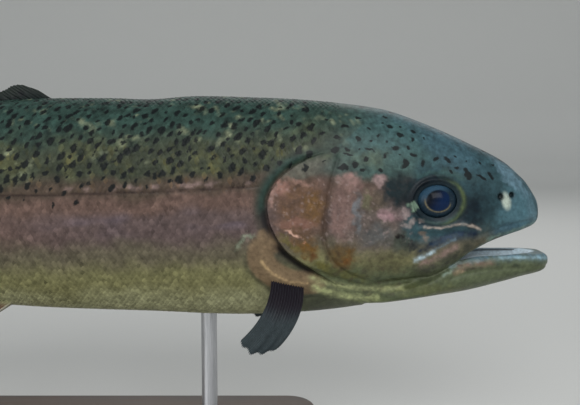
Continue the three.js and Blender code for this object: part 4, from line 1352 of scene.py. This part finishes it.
# Each fin runs from its start to its end (d, y, z) along the body, or along a line of it, and its
# rays reach out from there. The first ray's angle and the last's are from straight back, positive
# ones down, and "thick" is what the root adds to the tip's thickness, and that thickness.
FINS = {
    "dorsal_fin": {
        "start": (239, 0, 0), "end": (303, 0, 0), "on_line": lambda d: back_line(d) - 2,
        "angles": (-32, -34), "thick": (3.2, 0.9), "rays": 14, "rows": 34,
        "reach": profile([
            (0, 11), (0.07, 15.6), (0.14, 15), (0.25, 11.5), (0.35, 9.2), (0.45, 14), (0.7, 27), (1, 22),
        ]),
    },
    "adipose_fin": {
        "start": (407, 0, 0), "end": (424, 0, 0), "on_line": lambda d: back_line(d) - 2,
        "angles": (-44, -26), "thick": (3.2, 1.0), "rays": 0, "rows": 20,
        "reach": profile([(0, 20), (0.5, 21), (1, 14)]),
    },
    "tail_fin": {
        "start": (500, 0, 24), "end": (500, 0, -21), "angles": (-30, 30), "thick": (4, 0.8),
        "rays": 26, "rows": 48, "reach": lambda v: 62 + 22 * (2 * v - 1) ** 2,
    },
    "anal_fin": {
        "start": (360, 0, 0), "end": (411, 0, 0), "on_line": lambda d: belly_line(d) + 2,
        "angles": (56, 40), "thick": (3.4, 0.8), "rays": 13, "rows": 34,
        "reach": profile([(0, 30), (0.14, 48), (0.4, 40), (1, 22)]),
    },
}
PAIRED_FINS = {
    "pectoral_fin": {
        "start": (117.5, 18, -38), "end": (133, 20.5, -34.5), "angles": (94, 90), "splay": 0.62,
        "curl": -26, "thick": (3.2, 0.8), "cup": -4, "rays": 13, "rows": 34,
        "reach": profile([(0, 31), (0.2, 35), (0.6, 37), (1, 33)]),
    },
    "pelvic_fin": {
        "start": (261, 9, -47.6), "end": (276, 13, -45.6), "angles": (38, 24), "splay": 0.5,
        "curl": -6, "thick": (3.0, 0.8), "cup": -2, "rays": 10, "rows": 34,
        "reach": profile([(0, 42), (0.25, 50), (0.6, 44), (1, 30)]),
    },
}
POINTS_PER_RAY = 8


def ray_ridge(u, v, rays):
    """From 0 between a fin's rays to 1 on them; each ray forks in two halfway out."""
    if not rays:
        return np.ones(np.broadcast(u, v).shape)
    turns = 2 * math.pi * v * rays
    ones, twos = 0.5 + 0.5 * np.cos(turns), 0.5 + 0.5 * np.cos(2 * turns + math.pi)
    fork = smooth(0.35, 0.75, u)
    return ones * (1 - fork) + twos * fork


def fin_surface(spec, side, u, v, ridge):
    """Points (d, y, z) by (u, round the fin), u out along its rays and v from the first to the last."""
    splay, cup = spec.get("splay", 0) * side, spec.get("cup", 0) * side
    edge = 1 - (0.035 * (1 - ray_ridge(1, v, spec["rays"])) if spec["rays"] else 0) + 0.02 * np.sin(v * 23)
    angle = np.radians(spec["angles"][0] * (1 - v) + spec["angles"][1] * v + spec.get("curl", 0) * u)
    length = spec["reach"](v) * u * edge
    base = [start * (1 - v) + end * v for start, end in zip(spec["start"], spec["end"])]
    if "on_line" in spec:
        base[2] = spec["on_line"](base[0])
    wave = 0.5 * u * np.sin(v * 9 + u * 3) + cup * u * u
    thick = (spec["thick"][0] * (1 - u) ** 1.5 + spec["thick"][1]) * 0.5
    thin_edge = np.minimum(1, np.minimum(rounded(v, 0.02), rounded(1 - v, 0.02)) + 0.25)
    thick = thick * (0.55 + 0.45 * ridge) * thin_edge * (1 - 0.5 * smooth(0.93, 1, u))
    drop = length * np.sin(angle)
    faces = []
    for face in (1, -1):
        off = face * thick + wave
        d = base[0] + length * np.cos(angle)
        y = side * base[1] + math.sin(splay) * drop + math.cos(splay) * off
        z = base[2] - math.cos(splay) * drop + math.sin(splay) * off
        faces.append(np.stack(np.broadcast_arrays(d, y, z), -1))
    return np.concatenate([faces[0], faces[1][:, ::-1]], axis=1)


def add_fin(name, spec, side, colour, material):
    rays, rows = spec["rays"], spec["rows"]
    columns = max(rays, 4) * POINTS_PER_RAY
    u = np.linspace(0, 1, rows + 1)[:, None]
    v = np.linspace(0, 1, columns + 1)[None, :]
    ridge = ray_ridge(u, v, rays)
    surface = fin_surface(spec, side, u, v, ridge)
    index = np.arange(surface[..., 0].size).reshape(surface.shape[:2])
    ends = []
    for row in (0, rows):
        near, far = index[row, :columns + 1], index[row, columns + 1:][::-1]
        cap = np.stack([near[:-1], far[:-1], far[1:], near[1:]], -1)
        ends.append(cap if row else cap[:, ::-1])
    corners = surface.reshape(-1, 3)
    points = place(*corners.T)
    fin = new_object(name, points, facing_out(points, np.concatenate([ring_faces(index), *ends])))
    out = np.broadcast_to(u, index.shape).ravel()
    across = np.concatenate([v[0], v[0][::-1]])[None].repeat(rows + 1, 0).ravel()
    ridges = np.concatenate([ridge, ridge[:, ::-1]], axis=1).ravel()
    set_colour(fin, "tint", colour(out, across, ridges, corners))
    set_value(fin, "spots", near_fin_spot(name, corners))
    fin.data.materials.append(material)
    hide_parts(name)
    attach(fin, "root")


def from_flesh(colours, u, corners, reach, start=0.0):
    """A fin's colours, running out of the flesh's own over a share of its length."""
    share = smooth(start, start + reach, u + 0.4 * reach * noise(corners, 2.5, 41))[:, None]
    return skin_colour(*corners.T) * (1 - share) + colours * share


def back_fin_colour(u, v, ridge, corners):
    colours = painted(
        plain((19, 28, 27), len(u)),
        ((50, 58, 48), smooth(0.3, 1, u) * 0.5 * (1 - ridge)),
        ((74, 78, 62), smooth(0.7, 1, v) * smooth(0.2, 0.8, u) * 0.5 * (1 - ridge)),
    )
    return from_flesh(colours, u, corners, 0.12)


def tail_colour(u, v, ridge, corners):
    colours = painted(
        plain((72, 80, 62), len(u)),
        ((98, 88, 74), bump(v - 0.5, 0.3) * 0.6),
        ((36, 46, 42), np.maximum(bump(v, 0.05), bump(1 - v, 0.05)) * 0.7),
        ((124, 122, 98), 0.4 * (1 - ridge) * smooth(0.1, 0.4, u)),
        ((44, 46, 40), 0.45 * ridge * smooth(1.1, 0.6, u)),
        ((50, 44, 40), smooth(0.9, 1, u) * 0.6),
    )
    return from_flesh(colours, u, corners, 0.42, 0.13)


def low_fin_colour(u, v, ridge, corners):
    colours = painted(
        plain((104, 100, 78), len(u)),
        ((128, 92, 78), smooth(0.6, 0, u) * 0.6),
        ((66, 66, 56), 0.4 * ridge),
        ((190, 188, 172), smooth(0.05, 0.015, v) * 0.7),
    )
    return from_flesh(colours, u, corners, 0.1)


def pectoral_colour(u, v, ridge, corners):
    return painted(
        plain((50, 60, 64), len(u)),
        ((74, 86, 88), 0.5 * (1 - ridge) * smooth(0.3, 0.9, u)),
        ((30, 20, 30), smooth(0.62, 0.3, u) * 0.9),
        ((28, 34, 38), 0.35 * ridge),
    )


# Spots on the fins: how many to a mm² at most, and their half width in mm.
FIN_SPOTS = {"dorsal_fin": (0.02, 1.5), "adipose_fin": (0.02, 1.6), "tail_fin": (0.016, 1.7)}


def near_fin_spot(name, corners):
    """How near points of a fin are to a spot, as near_spot tells it for the flanks."""
    near = np.zeros(len(corners))
    if name not in FIN_SPOTS:
        return near
    share, half = FIN_SPOTS[name]
    flat = corners[:, (0, 2)]
    low, high = flat.min(0), flat.max(0)
    count = int(share * np.prod(high - low))
    middles = RANDOM.uniform(low, high, (count, 2))
    sizes = RANDOM.uniform(0.6, 1.15, count) * half
    waver = noise(corners, 1.6, 42) * 0.5
    for middle, size in zip(middles, sizes):
        away = np.hypot(flat[:, 0] + waver - middle[0], (flat[:, 1] + waver - middle[1]) * 1.25) / size
        near = np.maximum(near, 2 - away)
    return near


FIN_COLOURS = {
    "dorsal_fin": back_fin_colour, "adipose_fin": back_fin_colour, "tail_fin": tail_colour,
    "anal_fin": low_fin_colour, "pelvic_fin": low_fin_colour, "pectoral_fin": pectoral_colour,
}


def add_fins():
    material = living_material("trout_fins", 1.2, 0.46, 0.4, 0.1)
    for name, spec in FINS.items():
        add_fin(name, spec, 1, FIN_COLOURS[name], material)
    for kind, spec in PAIRED_FINS.items():
        for side, side_name in ((1, "left"), (-1, "right")):
            add_fin(f"{kind}_{side_name}", spec, side, FIN_COLOURS[kind], material)


# ------------------------------------------------------------------ stand


BASE_LENGTH, BASE_WIDTH, BASE_CORNER = 270, 112, 16
# How far in the base's edge lies, by height.
BASE_EDGE = [(1.2, 0), (0.2, 0.4), (0, 1.2), (0, 11.6), (0.3, 12.8), (1.1, 13.9), (2.3, 14.7), (3.8, 15)]
RODS = {"stand_rod_front": 165, "stand_rod_rear": 330}  # the d of each
ROD_RADIUS = 4
ROD_SINK = 2.5  # how far the rods run up into the belly
# The radius of a rod's foot, by height.
ROD_FOOT = [
    (9.4, 14.9), (10, 15.4), (10, 16.8), (9.6, 17.3), (8.4, 17.6), (5.6, 18.2), (4.6, 19.2),
    (ROD_RADIUS, 21),
]


def rounded_outline(length, width, corner, sides=14):
    """Points round a rectangle with rounded corners."""
    points = []
    for turn, (cx, cy) in enumerate(((1, 1), (-1, 1), (-1, -1), (1, -1))):
        for step in range(sides + 1):
            a = math.pi / 2 * (turn + step / sides)
            points.append((
                cx * (length / 2 - corner) + corner * math.cos(a),
                cy * (width / 2 - corner) + corner * math.sin(a),
            ))
    return np.array(points)


def stack_of(name, rings, middle=(0, 0)):
    """A closed object from rings of points (x, y) and heights, in mm."""
    count = len(rings[0][0])
    points = np.concatenate([
        np.column_stack([ring + middle, np.full(count, height)]) for ring, height in rings
    ])
    faces = []
    for level in range(len(rings) - 1):
        for i in range(count):
            j = (i + 1) % count
            a, b = level * count, (level + 1) * count
            faces.append((a + i, a + j, b + j, b + i))
    faces.append(tuple(range(count))[::-1])
    faces.append(tuple(range((len(rings) - 1) * count, len(rings) * count)))
    mesh = bpy.data.meshes.new(name)
    mesh.from_pydata([tuple(p * MM) for p in points], [], faces)
    for polygon in mesh.polygons:
        polygon.use_smooth = len(polygon.vertices) == 4
    item = bpy.data.objects.new(name, mesh)
    bpy.context.scene.collection.objects.link(item)
    return item


def add_stand():
    rings = []
    for inset, height in BASE_EDGE:
        sizes = BASE_LENGTH - 2 * inset, BASE_WIDTH - 2 * inset, BASE_CORNER - inset
        rings.append((rounded_outline(*sizes), height))
    base = stack_of("stand_base", rings)
    base.data.materials.append(base_material())
    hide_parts("stand_base")
    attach(base, "root")
    steel = rod_material()
    turn = np.linspace(0, 2 * math.pi, 64, endpoint=False)
    circle = np.column_stack([np.cos(turn), np.sin(turn)])
    for name, d in RODS.items():
        top = float(belly_line(d)) + AXIS_Z + ROD_SINK
        outline = [*ROD_FOOT, (ROD_RADIUS, top - 1), (ROD_RADIUS, top)]
        rod = stack_of(name, [(circle * r, h) for r, h in outline], (NOSE_X - d, float(sway(d))))
        rod.data.materials.append(steel)
        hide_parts(name)
        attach(rod, "root")


def grain_material(name, scale, grain, low, high, dark, light):
    """A worked surface whose grain runs along the axis where its scale is smallest."""
    material, nodes, links, shader = new_material(name)
    at = nodes.new("ShaderNodeTexCoord")
    drawn_out = add_node(nodes, "ShaderNodeMapping")
    drawn_out.inputs["Scale"].default_value = scale
    links.new(at.outputs["Object"], drawn_out.inputs["Vector"])
    lines = add_node(nodes, "ShaderNodeTexNoise", Scale=grain, Detail=8.0, Roughness=0.65, Distortion=0.4)
    links.new(drawn_out.outputs["Vector"], lines.inputs["Vector"])
    wide = add_node(nodes, "ShaderNodeTexNoise", Scale=grain * 0.13, Detail=3.0, Roughness=0.5)
    links.new(drawn_out.outputs["Vector"], wide.inputs["Vector"])
    both = add_node(nodes, "ShaderNodeMath", operation="MULTIPLY_ADD")
    links.new(wide.outputs["Fac"], both.inputs[0])
    both.inputs[1].default_value = 0.8
    links.new(lines.outputs["Fac"], both.inputs[2])
    ramp = add_node(nodes, "ShaderNodeValToRGB")
    for element, position, colour in zip(ramp.color_ramp.elements, (0.62, 1.0), (dark, light)):
        element.position, element.color = position, (*linear(colour), 1)
    links.new(both.outputs[0], ramp.inputs["Fac"])
    links.new(ramp.outputs["Color"], shader.inputs["Base Color"])
    links.new(ranged(nodes, links, lines.outputs["Fac"], low, high), shader.inputs["Roughness"])
    add_bumps(nodes, links, shader, lines.outputs["Fac"], 0.25, 0.15)
    return material, shader


def base_material():
    """Dark stained wood under a satin varnish."""
    material, shader = grain_material("stand_base", (1, 14, 14), 22, 0.32, 0.5, (34, 24, 18), (78, 56, 40))
    shader.inputs["Coat Weight"].default_value = 0.25
    shader.inputs["Coat Roughness"].default_value = 0.25
    return material


def rod_material():
    """Brushed steel."""
    material, shader = grain_material(
        "stand_rod", (30, 30, 1), 60, 0.24, 0.42, (160, 161, 164), (196, 197, 200))
    shader.inputs["Metallic"].default_value = 1
    return material


# ------------------------------------------------------------------ camera, light, floor


# The camera looks at this place (d, y, z), from so many metres off, so many degrees above level.
CAMERA_TARGET = (124, 0, 1.25)
CAMERA_DISTANCE = 0.42
CAMERA_ELEVATION = 6
CAMERA_HALF_ANGLE = 19
SENSOR = 36

# Each is a place in metres, a width and height, and a power in watts.
LIGHTS = {
    "key": ((0.25, -1.1, 0.8), (1.0, 0.8), 9),
    "fill": ((-0.9, -0.9, 0.3), (0.9, 0.9), 4),
    "rim": ((0.3, 1.0, 0.9), (1.2, 0.5), 3),
}
LIT_PLACE = (0.1, 0, 0.13)
SKY_COLOUR, SKY_STRENGTH = (0.86, 0.9, 0.92, 1), 0.42
# The floor sweeps up into a back wall through these places (y, z), in metres.
FLOOR_SWEEP = [(-3, 0), (1.6, 0), (1.9, 0.04), (2.05, 0.19), (2.1, 0.5), (2.1, 3.0)]
FLOOR_HALF = 4
FLOOR_COLOUR = (0.72, 0.72, 0.7)


def add_camera():
    camera = bpy.data.objects.new("camera", bpy.data.cameras.new("camera"))
    bpy.context.scene.collection.objects.link(camera)
    elevation = math.radians(CAMERA_ELEVATION)
    target = Vector(place(*CAMERA_TARGET))
    back = Vector((0, -math.cos(elevation), math.sin(elevation)))
    camera.location = target + back * CAMERA_DISTANCE
    camera.rotation_euler = (-back).to_track_quat("-Z", "Y").to_euler()
    camera.data.sensor_width = SENSOR
    camera.data.lens = SENSOR / 2 / math.tan(math.radians(CAMERA_HALF_ANGLE))
    camera.data.clip_start = 0.01
    bpy.context.scene.camera = camera


def add_light(name, at, size, power):
    data = bpy.data.lights.new(name, "AREA")
    data.shape = "RECTANGLE"
    data.size, data.size_y = size
    data.energy = power
    lamp = bpy.data.objects.new(name, data)
    lamp.location = at
    lamp.rotation_euler = (Vector(LIT_PLACE) - Vector(at)).to_track_quat("-Z", "Y").to_euler()
    bpy.context.scene.collection.objects.link(lamp)


def floor_material():
    """A pale, dull floor with a fine grain."""
    material, nodes, links, shader = new_material("floor")
    grain = noise_node(nodes, links, nodes.new("ShaderNodeTexCoord"), 900).outputs["Fac"]
    shade = add_node(nodes, "ShaderNodeVectorMath", operation="SCALE")
    shade.inputs[0].default_value = FLOOR_COLOUR
    links.new(ranged(nodes, links, grain, 0.97, 1.03), shade.inputs["Scale"])
    links.new(shade.outputs[0], shader.inputs["Base Color"])
    links.new(ranged(nodes, links, grain, 0.74, 0.86), shader.inputs["Roughness"])
    add_bumps(nodes, links, shader, grain, 0.15, 0.2)
    return material


def add_studio():
    world = bpy.data.worlds.new("studio")
    bpy.context.scene.world = world
    world.use_nodes = True
    sky = world.node_tree.nodes["Background"]
    sky.inputs["Color"].default_value = SKY_COLOUR
    sky.inputs["Strength"].default_value = SKY_STRENGTH
    for name, (at, size, power) in LIGHTS.items():
        add_light(name, at, size, power)
    points = [(x, y, z) for y, z in FLOOR_SWEEP for x in (-FLOOR_HALF, FLOOR_HALF)]
    faces = [(i, i + 1, i + 3, i + 2) for i in range(0, len(points) - 2, 2)]
    floor = new_object("floor", points, faces)
    floor.data.materials.append(floor_material())
    bpy.context.scene.view_settings.view_transform = "Standard"


add_camera()
add_skin(living_material("trout_skin", 1.6, 0.46, 0.5, 0.12))
add_coat(living_material("trout_scales", 2.4, 0.5, 0.3, 0.03))
add_fins()
add_stand()
for name, side in (("eye_left", 1), ("eye_right", -1)):
    add_eye(name, side)
add_studio()
